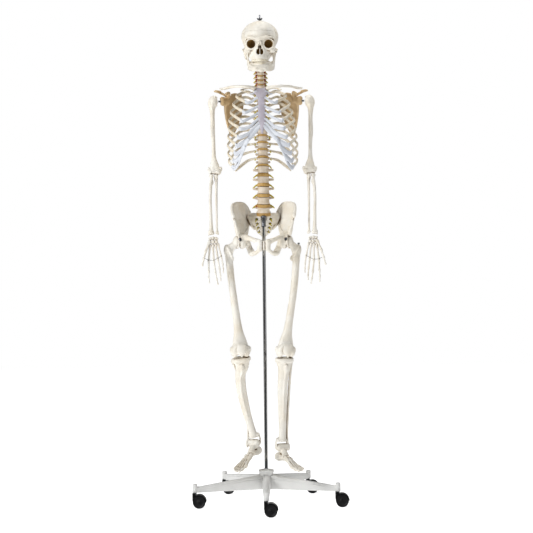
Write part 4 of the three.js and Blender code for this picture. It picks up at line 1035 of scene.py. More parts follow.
def rib_line(number):
    name = f"T{number}"
    at = VERTEBRAE.index(name)
    top = SACRUM_TOP + sum(PITCHES[:at + 1])
    depth = spine_depth(top - PITCHES[at] / 2)
    wide, deep, _ = body_size(name)
    angle, flank, front = RIB_ROWS[number - 1]
    head = (wide - 1, depth + deep * 0.6, top - 7)
    neck = (wide + 10, depth + deep + 8, top - 6)
    if number > 10:
        return [head, neck, angle, flank, front]
    swing = [(a + b) / 2 + c for a, b, c in zip(flank, front, (11, -9, 2))]
    return [head, neck, angle, flank, swing, front]


def rib(number):
    line = rib_line(number)
    clay = Clay(1.4)
    if number == 1:
        sizes = [(3, 4), (2.6, 4), (2.6, 6), (2.4, 7), (2.4, 7), (3, 7.5)]
        clay.rope(line, sizes, across=(0, 0.2, 1), steps=6, blend=1)
    else:
        sizes = [(4.6, 4), (3.6, 3.2), (5.2, 3.2), (5.4, 2.8), (5.4, 2.7), (6.2, 3.2)][:len(line)]
        if number > 10:
            sizes[-1] = (3, 2.2)
        clay.rope(line, sizes, across=(0, 0, 1), steps=7, blend=1)
        inside = [(x * 0.955, y * 0.96 if y < 0 else y - 2.5, z - 5.5) for x, y, z in line[2:-1]]
        clay.rope(inside, (1.6, 1.6), steps=6, blend=1.5, cut=True)
    clay.ball(line[1], (4, 4.6, 4.4), blend=2)
    return clay.mesh(0.25, 40 + number)


def cartilages():
    clay = Clay(1.3)
    for number in range(1, 11):
        line = rib_line(number)
        front = np.array(line[-1], float)
        along = unit(front - spline(line, 7)[-2])
        goal = np.array(CARTILAGE_ENDS[number - 1], float)
        lead = front + along * (5 if number == 1 else 12)
        dip = (lead + goal) / 2 - (0, 0, 9 if number > 4 else 2)
        inside = goal * (0.72 if number < 8 else 0.97, 1, 1)
        wide = 1.0 if number < 5 else 1.25 if number < 7 else 1.45
        size = [(6.2, 3.5), (5.6 * wide, 3.4), (5.2 * wide, 3.2), (4.6 * wide, 3), (4.4, 3)]
        if number == 1:
            size = [(3, 6)] * 5
        clay.rope([front - along * 1.5, lead, dip, goal, inside], size, across=(0, 0, 1), steps=5, blend=1.5)
    return clay.mesh(0.3, 60)


def sternum():
    clay = Clay(1.3)
    clay.rope([(0, -45, 1494), (0, -53, 1481), (0, -66, 1462)], [(23, 5.5), (25, 5.5), (14, 5)], blend=2)
    clay.ball((0, -44, 1503), (9, 10, 8), blend=2, cut=True)
    for s in (-1, 1):
        clay.ball((s * 26, -46, 1503), (10, 10, 9), blend=2, cut=True)
    clay.rope([(0, -70, 1456), (0, -83, 1420), (0, -96, 1385), (0, -106, 1354)],
              [(12, 5), (12.6, 5), (13.6, 4.8), (11, 4.4)],
              blend=2)
    for y, z in ((-77.5, 1438), (-86.5, 1413), (-95.5, 1389)):
        clay.rope([(-11, y - 4.4, z), (11, y - 4.4, z)], 0.9, across=(0, 1, 0), blend=4)
    for x, y, z in CARTILAGE_ENDS[1:6]:
        for s in (-1, 1):
            clay.ball((s * (x + 2.5), y, z), (5, 6, 4.6), blend=2, cut=True)
    clay.rope([(0, -107, 1352), (0, -111, 1342), (0, -112.5, 1331)], [(7, 3.2), (6, 2.6), (3.4, 2)], blend=2)
    in_trunk("breastbone", clay.mesh(0.4, 61), STERNUM, "sternum_and_cartilages")
    shape = cartilages()
    in_trunk("left_cartilages", shape, CARTILAGE)
    in_trunk("right_cartilages", mirrored(shape), CARTILAGE)


def ribs():
    for number in range(1, 13):
        shape = rib(number)
        in_trunk(f"left_rib_{number}", shape, SHADED_RIB)
        in_trunk(f"right_rib_{number}", mirrored(shape), SHADED_RIB)


# ---- Shoulder girdle ----
SHOULDER = (172, 4, 1455)


def scapula():
    clay = Clay(1.3)
    medial = [(74, 74, 1484), (68, 88, 1450), (80, 98, 1400), (106, 96, 1342)]
    middle = [(90, 68, 1486), (98, 66, 1456), (105, 78, 1410), (110, 96, 1344)]
    lateral = [(104, 50, 1484), (126, 24, 1460), (131, 42, 1420), (117, 90, 1343)]
    clay.sheet([medial, middle, lateral], 2.0, blend=2, rows=6, columns=3)
    clay.rope(medial, (2.6, 3.2), blend=2)
    clay.rope([(130, 16, 1446), (131, 36, 1420), (127, 64, 1384), (115, 92, 1342)],
              [(6, 6), (4.6, 4.6), (4, 4), (5, 4)], blend=3)
    clay.rope([(74, 74, 1484), (92, 62, 1488), (108, 44, 1484)], 2.4, blend=2)
    clay.ball((111, 94, 1343), (8, 4, 10), blend=3)
    ridge = [(70, 90, 1457), (104, 90, 1469), (136, 66, 1486), (154, 40, 1493)]
    clay.sheet([ridge, [(74, 84, 1456), (102, 72, 1464), (124, 44, 1474), (132, 34, 1478)]], 2.2, blend=3,
               rows=5, columns=4)
    clay.rope(ridge, [(3.4, 2.6), (4.4, 3.4), (4.6, 4), (4.2, 8)], across=(0, 0, 1), blend=2)
    clay.rope([(152, 44, 1493), (162, 26, 1494), (160, 10, 1492)], [(9, 4), (9, 4.2), (7, 3.6)], blend=3)
    clay.rope([(120, 24, 1458), (140, 8, 1456)], [(9, 13), (11, 17)], across=(0, 1, 0), blend=4)
    clay.rope([(122, 22, 1466), (116, 4, 1484), (121, -12, 1483), (127, -21, 1478)],
              [(7, 6), (6, 5), (5.4, 4.4), (5, 4)], blend=3)
    clay.ball(SHOULDER, 25.6, blend=1.2, cut=True)
    return clay.mesh(0.35, 63)


def clavicle():
    clay = Clay(1.2)
    clay.rope([(25, -50, 1496), (36, -54, 1499), (62, -58, 1502), (102, -22, 1505), (130, -2, 1501),
               (145, 5, 1500)],
              [(7.6, 7.6), (5.6, 5.8), (4.8, 5.4), (4.8, 5.4), (4.2, 7.2), (4.6, 8.4)], across=(0, 0, 1),
              steps=5)
    clay.rope([(44, -52, 1496), (68, -52, 1498)], 2, blend=4)
    return clay.mesh(0.25, 65)


# ---- Pelvis ----
def hip_bone(hip):
    """The left hip bone around a hip joint."""
    clay = Clay(1.5)
    crest = [(110, -80, 1045), (112, -48, 1075), (97, -10, 1086), (70, 38, 1083), (52, 74, 1056)]
    base = [(93, -60, 985), (92, -42, 970), (78, -20, 972), (66, 10, 980), (60, 62, 1018)]
    middle = [tuple((a + b) / 2 + c for a, b, c in zip(p, q, (3, 6, 0))) for p, q in zip(crest, base)]
    clay.sheet([crest, middle, base], [4.2, 2.6, 6.5], blend=3, rows=6, columns=3)
    clay.rope(crest, [(5, 5.5), (5.6, 6), (4.4, 5.6), (5, 6), (6.5, 8)], steps=5, blend=3)
    clay.ball((109, -80, 1040), (6, 6, 9), blend=4)
    clay.rope([(104, -76, 1022), (97, -68, 1000), (93, -58, 984)], [(5, 6), (4.6, 6), (8, 8)], blend=4)
    clay.ball((92, -56, 995), (6, 6, 8), blend=4)
    clay.ball((hip[0] - 11, hip[1] + 1, hip[2]), (20, 28, 28), blend=12)
    clay.rope([(68, -46, 964), (44, -72, 957), (15, -88, 945)], [(12, 10), (8, 7.6), (10, 9)], across=(0, 0, 1),
              blend=5)
    clay.rope([(14, -88, 948), (14, -86, 920)], [(10, 8), (9, 8)], blend=4)
    clay.rope([(14, -84, 921), (28, -60, 908), (42, -26, 905)], [(7.4, 7), (6.6, 6.6), (10, 10)],
              across=(0, 0, 1), blend=5)
    clay.rope([(64, -14, 946), (55, 6, 930), (45, -8, 908)], [(15, 13), (11, 12), (12, 13)], blend=5)
    clay.ball((30, -88, 955), (5, 4, 4), blend=3)
    clay.rope([(70, -6, 968), (63, 26, 988), (58, 60, 1018)], [(11, 10), (8, 9), (7, 13)], blend=5)
    clay.rope([(52, 20, 962), (40, 34, 958)], [(5, 8), (2, 3)], blend=4)
    clay.ball((54, 72, 1026), (6, 8, 12), blend=4)
    clay.rope([(84, -44, 972), (64, -8, 985), (54, 36, 1008)], [(3, 3)] * 3, blend=6)
    notch = [math.radians(a) for a in range(-65, 246, 31)]
    rim = [(hip[0] + 4 + 4 * math.cos(a) - 2 * math.sin(a), hip[1] + 28 * math.cos(a),
            hip[2] + 28 * math.sin(a)) for a in notch]
    clay.rope(rim, 2.8, steps=3, blend=5)
    clay.ball(tuple(hip), 25.6, blend=1, cut=True)
    clay.ball((hip[0] - 20, hip[1], hip[2] - 6), (9, 11, 13), blend=2, cut=True)
    return clay.mesh(0.45, 67)


def sacrum():
    clay = Clay(1.5)
    clay.drum((0, 17, 1034), (25, 16, 9), edge=2, blend=4)
    clay.rope([(0, 24, 1034), (0, 34, 1022), (0, 52, 1003), (0, 64, 986), (0, 71, 975)],
              [(40, 13), (46, 11.5), (33, 8.5), (28, 7), (18, 5)],
              blend=4)

    def wing(s):
        clay.rope([(s * 18, 22, 1036), (s * 36, 34, 1040), (s * 48, 44, 1040)], [(15, 9), (13, 9), (12, 10)],
                  across=(0, 0.5, 1), blend=6)
        clay.rope([(s * 50, 46, 1034), (s * 46, 52, 1012), (s * 34, 60, 996)], [(7, 13), (6, 11), (5, 7)],
                  blend=5)
        clay.rope([(s * 20, 34, 1040), (s * 22, 40, 1055)], [(5, 5), (4, 5)], blend=3)
        for x, y, z in ((14, 52, 1030), (13, 62, 1012), (11, 70, 996), (9, 76, 982)):
            clay.ball((s * x, y, z), (4, 4, 6), blend=4)
    both(wing)
    for y, z in ((54, 1032), (65, 1014), (73, 998)):
        clay.ball((0, y, z), (3.5, 7, 7), blend=4)
    clay.rope([(0, 38, 1060), (0, 42, 1034), (0, 60, 1004)], [(12, 6), (9, 5), (4, 3)], blend=2, cut=True)
    holes = [(25, 16, 1030), (23, 30, 1014), (20, 46, 1000), (16, 60, 986)]
    for x, y, z in holes:
        for s in (-1, 1):
            clay.rope([(s * x, y - 24, z - 9), (s * x, y + 34, z + 12)], (4.6, 4.6), blend=2, cut=True)
    clay.rope([(0, 0, 900), (0, 0, 1043)], 10.2, blend=1, cut=True)
    in_trunk("sacrum_bone", clay.mesh(0.45, 69), BONE, "sacrum", lean=False)
    strands = Clay(0.9)
    for (x, y, z), length in zip(holes, (11, 10, 8, 6)):
        for s in (-1, 1):
            strands.rope([(s * x, y + 12, z + 4), (s * (x + 1), y - 1, z - 3),
                          (s * (x + 5), y - 5, z - length)],
                         [2.2, 2.2, 1.6], blend=1)
    in_trunk("sacral_nerves", strands.mesh(), NERVE, lean=False)


def coccyx():
    clay = Clay(1.0)
    for y, z, size in ((72, 970, (11, 4.5, 5)), (69, 961, (7.5, 4, 5)), (64, 953, (5.5, 3.6, 4.4)),
                       (57, 948, (4, 4.5, 3.2))):
        clay.ball((0, y, z), size, blend=1.5)
    for s in (-1, 1):
        clay.rope([(s * 6, 74, 972), (s * 7, 76, 979)], [2.4, 1.8], blend=2)
    in_trunk("coccyx_bone", clay.mesh(0.2, 71), BONE, "coccyx", lean=False)


def trunk():
    spine()
    atlas()
    ribs()
    sternum()
    blade, collarbone = scapula(), clavicle()
    for side, s in SIDES.items():
        turned = (lambda shape: shape) if s > 0 else mirrored
        in_trunk(f"{side}_scapula_bone", turned(blade), SHADED_BLADE, f"{side}_scapula")
        in_trunk(f"{side}_clavicle_bone", turned(collarbone), BONE, f"{side}_clavicle")
        joint = (joint_point(f"{side}_hip_swing") - POLE) / MM
        shape = hip_bone((joint.x * s, joint.y, joint.z))
        in_trunk(f"{side}_hip_bone_shape", turned(shape), BONE, f"{side}_hip_bone", lean=False)
    sacrum()
    coccyx()
    pad = Clay(1.0)
    pad.rope([(0, -87, 947), (0, -85, 920)], [(4.4, 7.4), (4.4, 6)])
    in_trunk("symphysis_pad", pad.mesh(0.2, 73), BONE, "pubic_symphysis", lean=False)
    socket = lathe([(6.6, 1001), (8.4, 1001), (8.8, 1002), (8.8, 1006), (8.0, 1007), (8.0, 1030), (8.8, 1031),
                    (8.8, 1039),
                    (8, 1041), (0, 1041), (0, 1034), (6.6, 1033.5), (6.6, 1001)], 36)
    in_trunk("pelvic_socket_sleeve", socket, STEEL, "pelvic_socket", lean=False)


trunk()


# ---- Head: millimetres from the pole's axis, before the head's sideways shift ----
CUT = 1697  # height of the saw line around the skull
CASE = [  # the braincase's outside: centre, and half-sizes
    ((0, -34, 1684), (55, 62, 54)),
    ((0, 14, 1687), (67, 68, 57)),
    ((0, 36, 1664), (53, 50, 46)),
    ((0, -4, 1654), (55, 62, 36)),
    ((24, 38, 1636), (27, 30, 23)),
    ((-24, 38, 1636), (27, 30, 23)),
]


def braincase(clay, inset, cut):
    for i, (centre, size) in enumerate(CASE):
        clay.ball(centre, np.array(size) - inset, blend=0 if cut else 8 if i else 3, cut=cut)


def arch_point(angle, wide, deep, front, height):
    """A point on the horseshoe of the jaws. angle is 0 at the front and 90 degrees at the sides."""
    turn = math.radians(angle)
    return (wide * math.sin(turn), front + deep * (1 - math.cos(turn)), height)


TEETH = [(5, 4.3), (15.5, 3.3), (25.5, 3.8), (36, 3.5), (46, 3.5), (58.5, 4.9), (72, 4.8),
         (84, 4.4)]  # angle, half-width


def teeth(wide, deep, front, height, down, width):
    """A row of 16 teeth. down is 1 for the upper row and -1 for the lower."""
    shapes = []
    for i, (angle, half) in enumerate(TEETH):
        for s in (-1, 1):
            clay = Clay(0.55)
            x, y, z = arch_point(s * angle, wide, deep, front, height)
            turn = math.degrees(math.atan2(deep * math.sin(math.radians(s * angle)),
                                           wide * math.cos(math.radians(angle))))
            half = half * (width if i < 3 else 1)
            thick = 2.4 if i < 3 else 3.4 if i < 5 else 4.4
            tall = 5.4 if i < 3 else 4.6 if i < 5 else 4.0
            clay.ball((x, y, z), (half, thick, tall), turn=(0, 0, turn))
            clay.ball((x, y, z - down * tall * 0.35),
                      (half * 0.94, thick * (0.55 if i < 3 else 0.95), tall * 0.7),
                      turn=(0, 0, turn), blend=1)
            shapes.append(clay.mesh())
    return joined(shapes)


def skull_clay():
    clay = Clay(1.1)
    braincase(clay, 0, False)
    clay.rope([(-52, -68, 1668), (-44, -84, 1671), (-28, -95, 1671), (-10, -98, 1667), (0, -99, 1666),
               (10, -98, 1667),
               (28, -95, 1671), (44, -84, 1671), (52, -68, 1668)],
              [(3.4, 3.6), (4, 4.4), (4.4, 4.4), (4.6, 4), (4.8, 4), (4.6, 4), (4.4, 4.4), (4, 4.4),
               (3.4, 3.6)],
              across=(0, 0, 1), blend=9)
    clay.rope([(0, -84, 1664), (0, -86, 1636), (0, -84, 1604)], [(26, 13), (23, 15), (25, 18)], blend=6)
    clay.ball((0, -66, 1622), (34, 26, 24), blend=6)
    arch = [arch_point(a, 27, 46, -100, 1600) for a in range(-90, 91, 15)]
    clay.rope(arch, [(8, 4.6)] * len(arch), across=(0, 0, 1), blend=4, steps=2)
    for s in (-1, 1):
        clay.ball((s * 29, -60, 1609), (10, 15, 11), blend=6)
    clay.rope([(0, -84, 1607), (0, -62, 1608)], [(22, 4), (24, 4)], blend=4)

    def side_parts(s):
        ring = [(s * (31 + 17.5 * math.cos(a)), -90 + 14 * max(0, math.cos(a)) ** 1.5,
                 1648 + 16.5 * math.sin(a))
                for a in np.linspace(-math.pi, math.pi, 13)]
        clay.rope(ring, 2.6, steps=3, blend=5)
        clay.ball((s * 44, -74, 1629), (13, 12, 11), turn=(0, 0, -35 * s), blend=6)
        clay.rope([(s * 50, -68, 1630), (s * 58, -50, 1631), (s * 62, -30, 1634), (s * 61, -10, 1638),
                   (s * 57, 6, 1640)],
                  [(7, 4), (4, 2.4), (3.4, 2.2), (4, 3), (5, 5)], across=(0, 0, 1), blend=4)
        clay.rope([(s * 50, -74, 1664), (s * 52, -70, 1650), (s * 50, -72, 1634)], [(4, 5), (3.4, 5), (5, 6)],
                  blend=4)
        clay.rope([(s * 52, 19, 1640), (s * 51, 17, 1622), (s * 50, 14, 1610)], [(9, 10), (6.5, 6.5), (4, 4)],
                  blend=5)
        clay.rope([(s * 38, 8, 1632), (s * 34, 6, 1614)], [(3, 3), (1.4, 1.4)], blend=3)
        clay.rope([(s * 14, -44, 1634), (s * 15, -46, 1604)], [(3, 8), (2.4, 6)], blend=4)
        clay.ball((s * 14, 6, 1613), (6.5, 11, 7), blend=3)
    both(side_parts)
    clay.ball((0, 83, 1655), (7, 6, 6), blend=6)
    clay.rope([(-34, 72, 1652), (0, 82, 1657), (34, 72, 1652)], [2, 2.6, 2], blend=6)
    for s in (-1, 1):
        clay.rope([(s * 31, -84, 1648), (s * 18, -46, 1650)], [(21, 20), (8, 8)], blend=3)
    braincase(clay, 5, True)
    for s in (-1, 1):
        clay.rope([(s * 31, -84, 1648), (s * 20, -50, 1650)], [(20.5, 19.5), (10, 10)], blend=3)
    clay.rope([(0, -80, 1640), (0, -60, 1628)], [(14, 16), (14, 20)], blend=3)
    clay.rope([(0, 14, 1590), (0, 12, 1645)], (13, 16), blend=2, cut=True)
    for s in (-1, 1):
        clay.rope([(s * 31.5, -118, 1647.5), (s * 31, -94, 1648), (s * 29, -78, 1648.5), (s * 26, -68, 1649)],
                  [(15.6, 15.6), (15.4, 15.4), (14, 14), (10, 10)], blend=2, cut=True)
        clay.rope([(s * 57, -46, 1618), (s * 53, -40, 1640), (s * 60, -44, 1668)], [(8, 16), (5, 14), (7, 14)],
                  blend=3, cut=True)
        clay.rope([(s * 40, -56, 1612), (s * 46, -20, 1616)], [(10, 14), (10, 12)], blend=3, cut=True)
        clay.ball((s * 28, -96, 1626), (6, 3, 6), blend=3, cut=True)
        clay.ball((s * 63, 4, 1630), (6, 5, 4), blend=2, cut=True)
    clay.ball((0, -70, 1595), (21, 26, 10), blend=3, cut=True)
    for s in (-1, 1):
        clay.rope([(s * 1.6, -96, 1662), (s * 3.2, -101, 1650), (s * 4.6, -105, 1644)],
                  [(2.4, 3), (2.6, 2.2), (2.4, 1.6)], blend=3)
        clay.rope([(s * 10, -80, 1617), (s * 9, -78, 1628)], [(2.4, 5), (1.6, 3)], blend=1)
    clay.rope([(0, -118, 1637), (0, -72, 1636)], (6, 7), blend=1.5, cut=True)
    clay.rope([(-5.5, -112, 1619.5), (-4.5, -76, 1622)], (7.6, 10.5), blend=2, cut=True)
    clay.rope([(5.5, -112, 1619.5), (4.5, -76, 1622)], (7.6, 10.5), blend=2, cut=True)
    clay.sheet([[(0, -94, 1640), (0, -70, 1640)], [(0, -95, 1610), (0, -70, 1610)]], 0.9, blend=1, rows=3,
               columns=2)
    clay.rope([(-2, -98, 1608), (0, -103, 1611), (2, -98, 1608)], 1.6, blend=3)
    clay.rope([(0, 0, 1590), (0, 0, 1790)], 3.2, blend=0.4, cut=True)
    return clay


def wiggle(points, size, seed):
    """A seam's zigzag around a line."""
    rng = np.random.default_rng(seed)
    made = spline(points, 14)
    return made + rng.normal(0, size, made.shape) * (np.arange(len(made)) % 2)[:, None]


def seams(clay):
    """The grooves of the skull's seams, kept to its surface."""
    lines = [
        wiggle([(-62, -20, 1700), (-46, -28, 1727), (0, -36, 1742), (46, -28, 1727), (62, -20, 1700)], 1.1, 1),
        wiggle([(0, -34, 1743), (0, 10, 1747), (0, 52, 1733), (0, 70, 1712)], 1.1, 2),
        wiggle([(-58, 46, 1676), (-38, 66, 1694), (0, 74, 1712), (38, 66, 1694), (58, 46, 1676)], 1.2, 3),
        wiggle([(60, -30, 1668), (65, 0, 1684), (64, 28, 1672), (60, 40, 1656)], 0.5, 4),
        wiggle([(-60, -30, 1668), (-65, 0, 1684), (-64, 28, 1672), (-60, 40, 1656)], 0.5, 5),
    ]
    for line in lines:
        onto = []
        for p in line:  # each point is pushed in or out until it lies on the braincase
            ray = unit(p - (0, 10, 1684))
            reach = max(ray_reach(ray, centre, size) for centre, size in CASE)
            onto.append(np.array((0, 10, 1684)) + ray * (reach + 0.4))
        clay.rope(onto, 0.95, steps=1, blend=0.6, cut=True)


def ray_reach(ray, centre, size):
    """How far a ray from inside the head runs to the outside of one of the braincase's ellipsoids."""
    start = (np.array((0, 10, 1684)) - centre) / size
    along = ray / size
    a, b, c = along @ along, start @ along, start @ start - 1
    root = b * b - a * c
    return (-b + math.sqrt(root)) / a if root > 0 else 0


def half_space(clay, above):
    """Cuts away what lies above or below the saw line."""
    middle = CUT + (80 if above else -120.4)
    clay.drum((0, 0, middle), (150, 170, 80 if above else 120), edge=0.2, blend=0, cut=True)


def mandible():
    clay = Clay(1.1)

    def side_parts(s):
        clay.sheet([[(s * 49, -8, 1618), (s * 46, -13, 1590), (s * 45, -18, 1572)],
                    [(s * 49, -36, 1614), (s * 44, -46, 1592), (s * 41, -52, 1570)]], 2.6, blend=3, rows=5,
                    columns=3)
        clay.rope([(s * 49, -6, 1616), (s * 51, -10, 1624)], [(3.4, 4), (4, 4)], blend=3)
        clay.ball((s * 52, -11, 1629), (7.5, 4, 4), blend=2)
        clay.rope([(s * 48, -32, 1610), (s * 47, -37, 1618), (s * 47, -38, 1624)],
                  [(2.6, 6), (2, 3.6), (1.6, 2)], blend=3)
        clay.rope([(s * 48, -10, 1606), (s * 46, -15, 1582), (s * 44, -25, 1569)], 3.0, blend=4)
        clay.ball((s * 49.5, -20, 1624), (8, 8, 8), blend=2, cut=True)
        clay.ball((s * 14, -101, 1557), (8, 5, 5), blend=4)
        clay.ball((s * 40, -70, 1566), (2, 3.4, 3), blend=1, cut=True)
    both(side_parts)
    line = [(-43, -30, 1575), (-38, -52, 1569), (-30, -78, 1563), (-15, -95, 1560), (0, -99, 1558),
            (15, -95, 1560),
            (30, -78, 1563), (38, -52, 1569), (43, -30, 1575)]
    sizes = [(12, 4.4), (11.5, 5), (10.5, 5), (10, 5), (10, 5), (10, 5), (10.5, 5), (11.5, 5), (12, 4.4)]
    clay.rope(line, sizes, across=(0, 0, 1), blend=4)
    ridge = [(-43, -32, 1584)] + [arch_point(a, 28, 48, -96, 1572 + abs(a) * 0.07) for a in range(-85, 86,
            17)] + [(43, -32, 1584)]
    clay.rope(ridge, [(10, 6)] * 2 + [(8, 5)] + [(7, 4.4)] * (len(ridge) - 6) + [(8, 5)] + [(10, 6)] * 2,
              across=(0, 0, 1), blend=5, steps=2)
    clay.ball((0, -104, 1552), (9, 4.4, 6), blend=4)
    return clay.mesh(0.35, 75)


def orbit_shade_lining():
    """Painted shade: a brown lining inside both eye sockets and the nose, standing in for the shadow in them."""
    shapes = []
    for s in (-1, 1):
        clay = Clay(0.9)
        line = [(s * 31, -86, 1648), (s * 29, -76, 1648.5), (s * 26, -67, 1649)]
        clay.rope(line, [(16.2, 16.2), (15, 15), (11.4, 11.4)])
        clay.rope([(s * 31.5, -118, 1647.5), (s * 31, -94, 1648)] + line[1:],
                  [(17, 17), (15, 15), (12.6, 12.6), (8.6, 8.6)], blend=0.5, cut=True)
        shapes.append(clay.mesh(0.2, 79))
    nose = Clay(0.9)
    nose.ball((0, -76, 1623), (13, 8, 15))
    nose.ball((0, -90, 1623), (15, 14, 18), blend=1, cut=True)
    shapes.append(nose.mesh(0.3, 81))
    return joined(shapes)


def in_head(name, shape, material, body, replaces=()):
    """Puts a piece on the head. The jaw hangs a little to the left."""
    matrix = HEAD @ Matrix.Translation((3.5, 0, 0)) if body == "mandible" else HEAD
    return piece(name, shape, matrix, material, body, replaces)


def head():
    for part, body, above in (("skull_base", "skull", True), ("skull_cap", "skull_cap", False)):
        clay = skull_clay()
        seams(clay)
        if above:
            half_space(clay, True)
        else:
            half_space(clay, False)
        in_head(f"{part}_bone", clay.mesh(0.35, 77), BONE, body, part)
    in_head("upper_teeth", teeth(26, 44, -102, 1591, 1, 1), TOOTH, "skull")
    in_head("lower_teeth", teeth(25, 43, -99, 1579.5, -1, 0.72), TOOTH, "mandible")
    # Painted shade inside the eye sockets and the nose.
    in_head("orbit_shade_lining", orbit_shade_lining(), SOCKET_SHADE, "skull")
    in_head("jaw_bone", mandible(), BONE, "mandible", "mandible")
    rod = [(0, 1616), (1.8, 1616)] + [(r, z + dz) for z in np.arange(1617, 1764, 1.5) for r,
                                      dz in ((2.6, 0.3), (2.2, 1.0))]
    in_head("threaded_rod", lathe(rod + [(2.0, 1764.4), (0, 1765)], 20), STEEL, "skull",
            "head_rod")
    nut = lathe([(3.1, 1745.3), (6.4, 1745.3), (6.6, 1746), (5.2, 1747.4), (4.6, 1750.6), (4.0, 1752),
                 (3.1, 1752), (3.1, 1745.3)],
                28)
    wings = Clay(0.5)
    for s in (-1, 1):
        wings.rope([(s * 3.6, 0, 1748), (s * 6.4, 0, 1749.8), (s * 8.6, 0, 1752.4)],
                   [(2.6, 1.5), (2.8, 1.3), (2.4, 1.0)],
                   across=(0, 0, 1), blend=1)
    turning = joined([(nut[0], [list(f) for f in nut[1]]), (lambda m: (m[0], m[1].tolist()))(wings.mesh())])
    in_head("wing_nut_body", turning, STEEL, "wing_nut", "wing_nut")


head()


# ---- Stand ----
def on_stand(name, shape, material, body="stand", replaces=(), matrix=None):
    return piece(name, shape, TRUNK if matrix is None else matrix, material, body, replaces)


def ribbed_leg():
    """One leg of the base, along +X: a tapering channel with rounded shoulders."""
    clay = Clay(1.6)
    rows = [(10, 53, 112, 15), (60, 53, 102, 13), (130, 53, 93, 10.6), (200, 54, 84, 8.6), (262, 56, 76, 7.4)]
    for (x0, b0, t0, w0), (x1, b1, t1, w1) in zip(rows, rows[1:]):
        clay.sheet([[(x0, 0, b0 + 4), (x1, 0, b1 + 4)], [(x0, 0, t0 - w0 * 0.8), (x1, 0, t1 - w1 * 0.8)]], 4,
                   blend=2, rows=4)
    clay.rope([(10, 0, 98), (60, 0, 92), (130, 0, 85), (200, 0, 78), (264, 0, 70)],
              [(14, 9), (12, 8), (10, 7), (8, 5.6), (6.6, 5)], across=(0, 1, 0), blend=5)
    for s in (-1, 1):
        clay.sheet([[(8, s * 14, 92), (266, s * 6.5, 67)], [(8, s * 13.5, 55), (266, s * 6.5, 57)]], 1.6,
                   blend=1.5, rows=8)
    clay.rope([(30, 0, 55), (240, 0, 55)], [(10, 3), (4, 2)], across=(0, 1, 0), blend=1.5, cut=True)
    return clay.mesh(0, 0)


def stand():
    leg = ribbed_leg()
    knob = lathe([(0, 55.5), (8.4, 55.5), (9.2, 56.6), (9.4, 60), (9.4, 82), (8.8, 84.6), (7.2, 86), (0, 86.4)],
                 36)
    knob = (knob[0] + (268, 0, 0), knob[1])
    hub = lathe([(6.4, 52.5), (20, 52.5), (22, 54), (22.6, 60), (22.4, 98), (23, 102), (25.4, 110), (27.4, 115),
                 (27.8, 120.6),
                 (26.6, 122.4), (15, 122.8), (14, 121.6), (14, 118), (8, 118), (6.4, 116.6), (6.4, 52.5)], 60)
    for i in range(5):
        turn = TRUNK @ Matrix.Rotation(math.radians(-90 + 72 * i), 4, "Z")
        on_stand(f"base_leg_{i + 1}", leg, PLASTIC, matrix=turn, replaces="star_base" if i == 0 else ())
        on_stand(f"base_knob_{i + 1}", knob, PLASTIC, matrix=turn)
    on_stand("base_hub", hub, PLASTIC)
    on_stand("hub_collar",
             lathe([(6.5, 118.5), (12.8, 118.5), (13.2, 119.2), (13, 122.6), (11.6, 123.8), (9.6, 124.4),
                                  (9, 126), (6.5, 126.4), (6.5, 118.5)], 48), PLASTIC, replaces="pole_collar")
    pole = [(0, 62), (5.4, 62)] + [(6.0, z) for z in np.linspace(62.6, 560, 8)]
    pole += [(6.0, 566), (5.86, 566.3), (5.86, 567),
             (6.0, 567.3)] + [(6.0, z) for z in np.linspace(572, 1030, 8)]
    on_stand("steel_pole", lathe(pole + [(5.4, 1032), (0, 1032)], 48), CHROME,
             replaces="pole")
    for i in range(1, 6):
        caster(i)


def wheel(side):
    """One wheel of a caster around its axle along Y, on one side of the hood's web."""
    inner, outer = 7.5, 16.5
    rows = [(3.2, inner), (21, inner), (22.4, inner + 0.4), (23, inner + 1.4), (23, outer - 1.6),
            (22.4, outer - 0.5),
            (21.4, outer), (18, outer - 0.2), (17, outer - 1.6), (8, outer - 1.6), (7, outer - 0.4),
            (3.2, outer - 0.4), (3.2, inner)]
    vertices, faces = lathe(rows, 48)
    turned = vertices[:, [0, 2, 1]] * (1, side, 1)
    return turned, (flipped(faces) if side > 0 else faces)


def caster(i):
    roll = joint_point(f"caster_roll_{i}")
    swivel = joint_point(f"caster_swivel_{i}")
    around = Matrix.Translation(roll) @ Matrix.Scale(MM, 4)
    stem = Matrix.Translation((swivel.x, swivel.y, 0)) @ Matrix.Scale(MM, 4)
    wheels = joined([wheel(-1), wheel(1)])
    axle = lathe([(0, -17.4), (2.8, -17.4), (3, -17), (3, 17), (2.8, 17.4), (0, 17.4)], 20)
    axle = (axle[0][:, [0, 2, 1]], flipped(axle[1]))
    on_stand(f"caster_tyres_{i}", wheels, TREAD, f"caster_wheel_{i}", f"caster_wheel_{i}",
             around)
    on_stand(f"caster_axle_{i}", axle, BLACK, f"caster_wheel_{i}", (), around)
    hood_piece(i, around, stem)


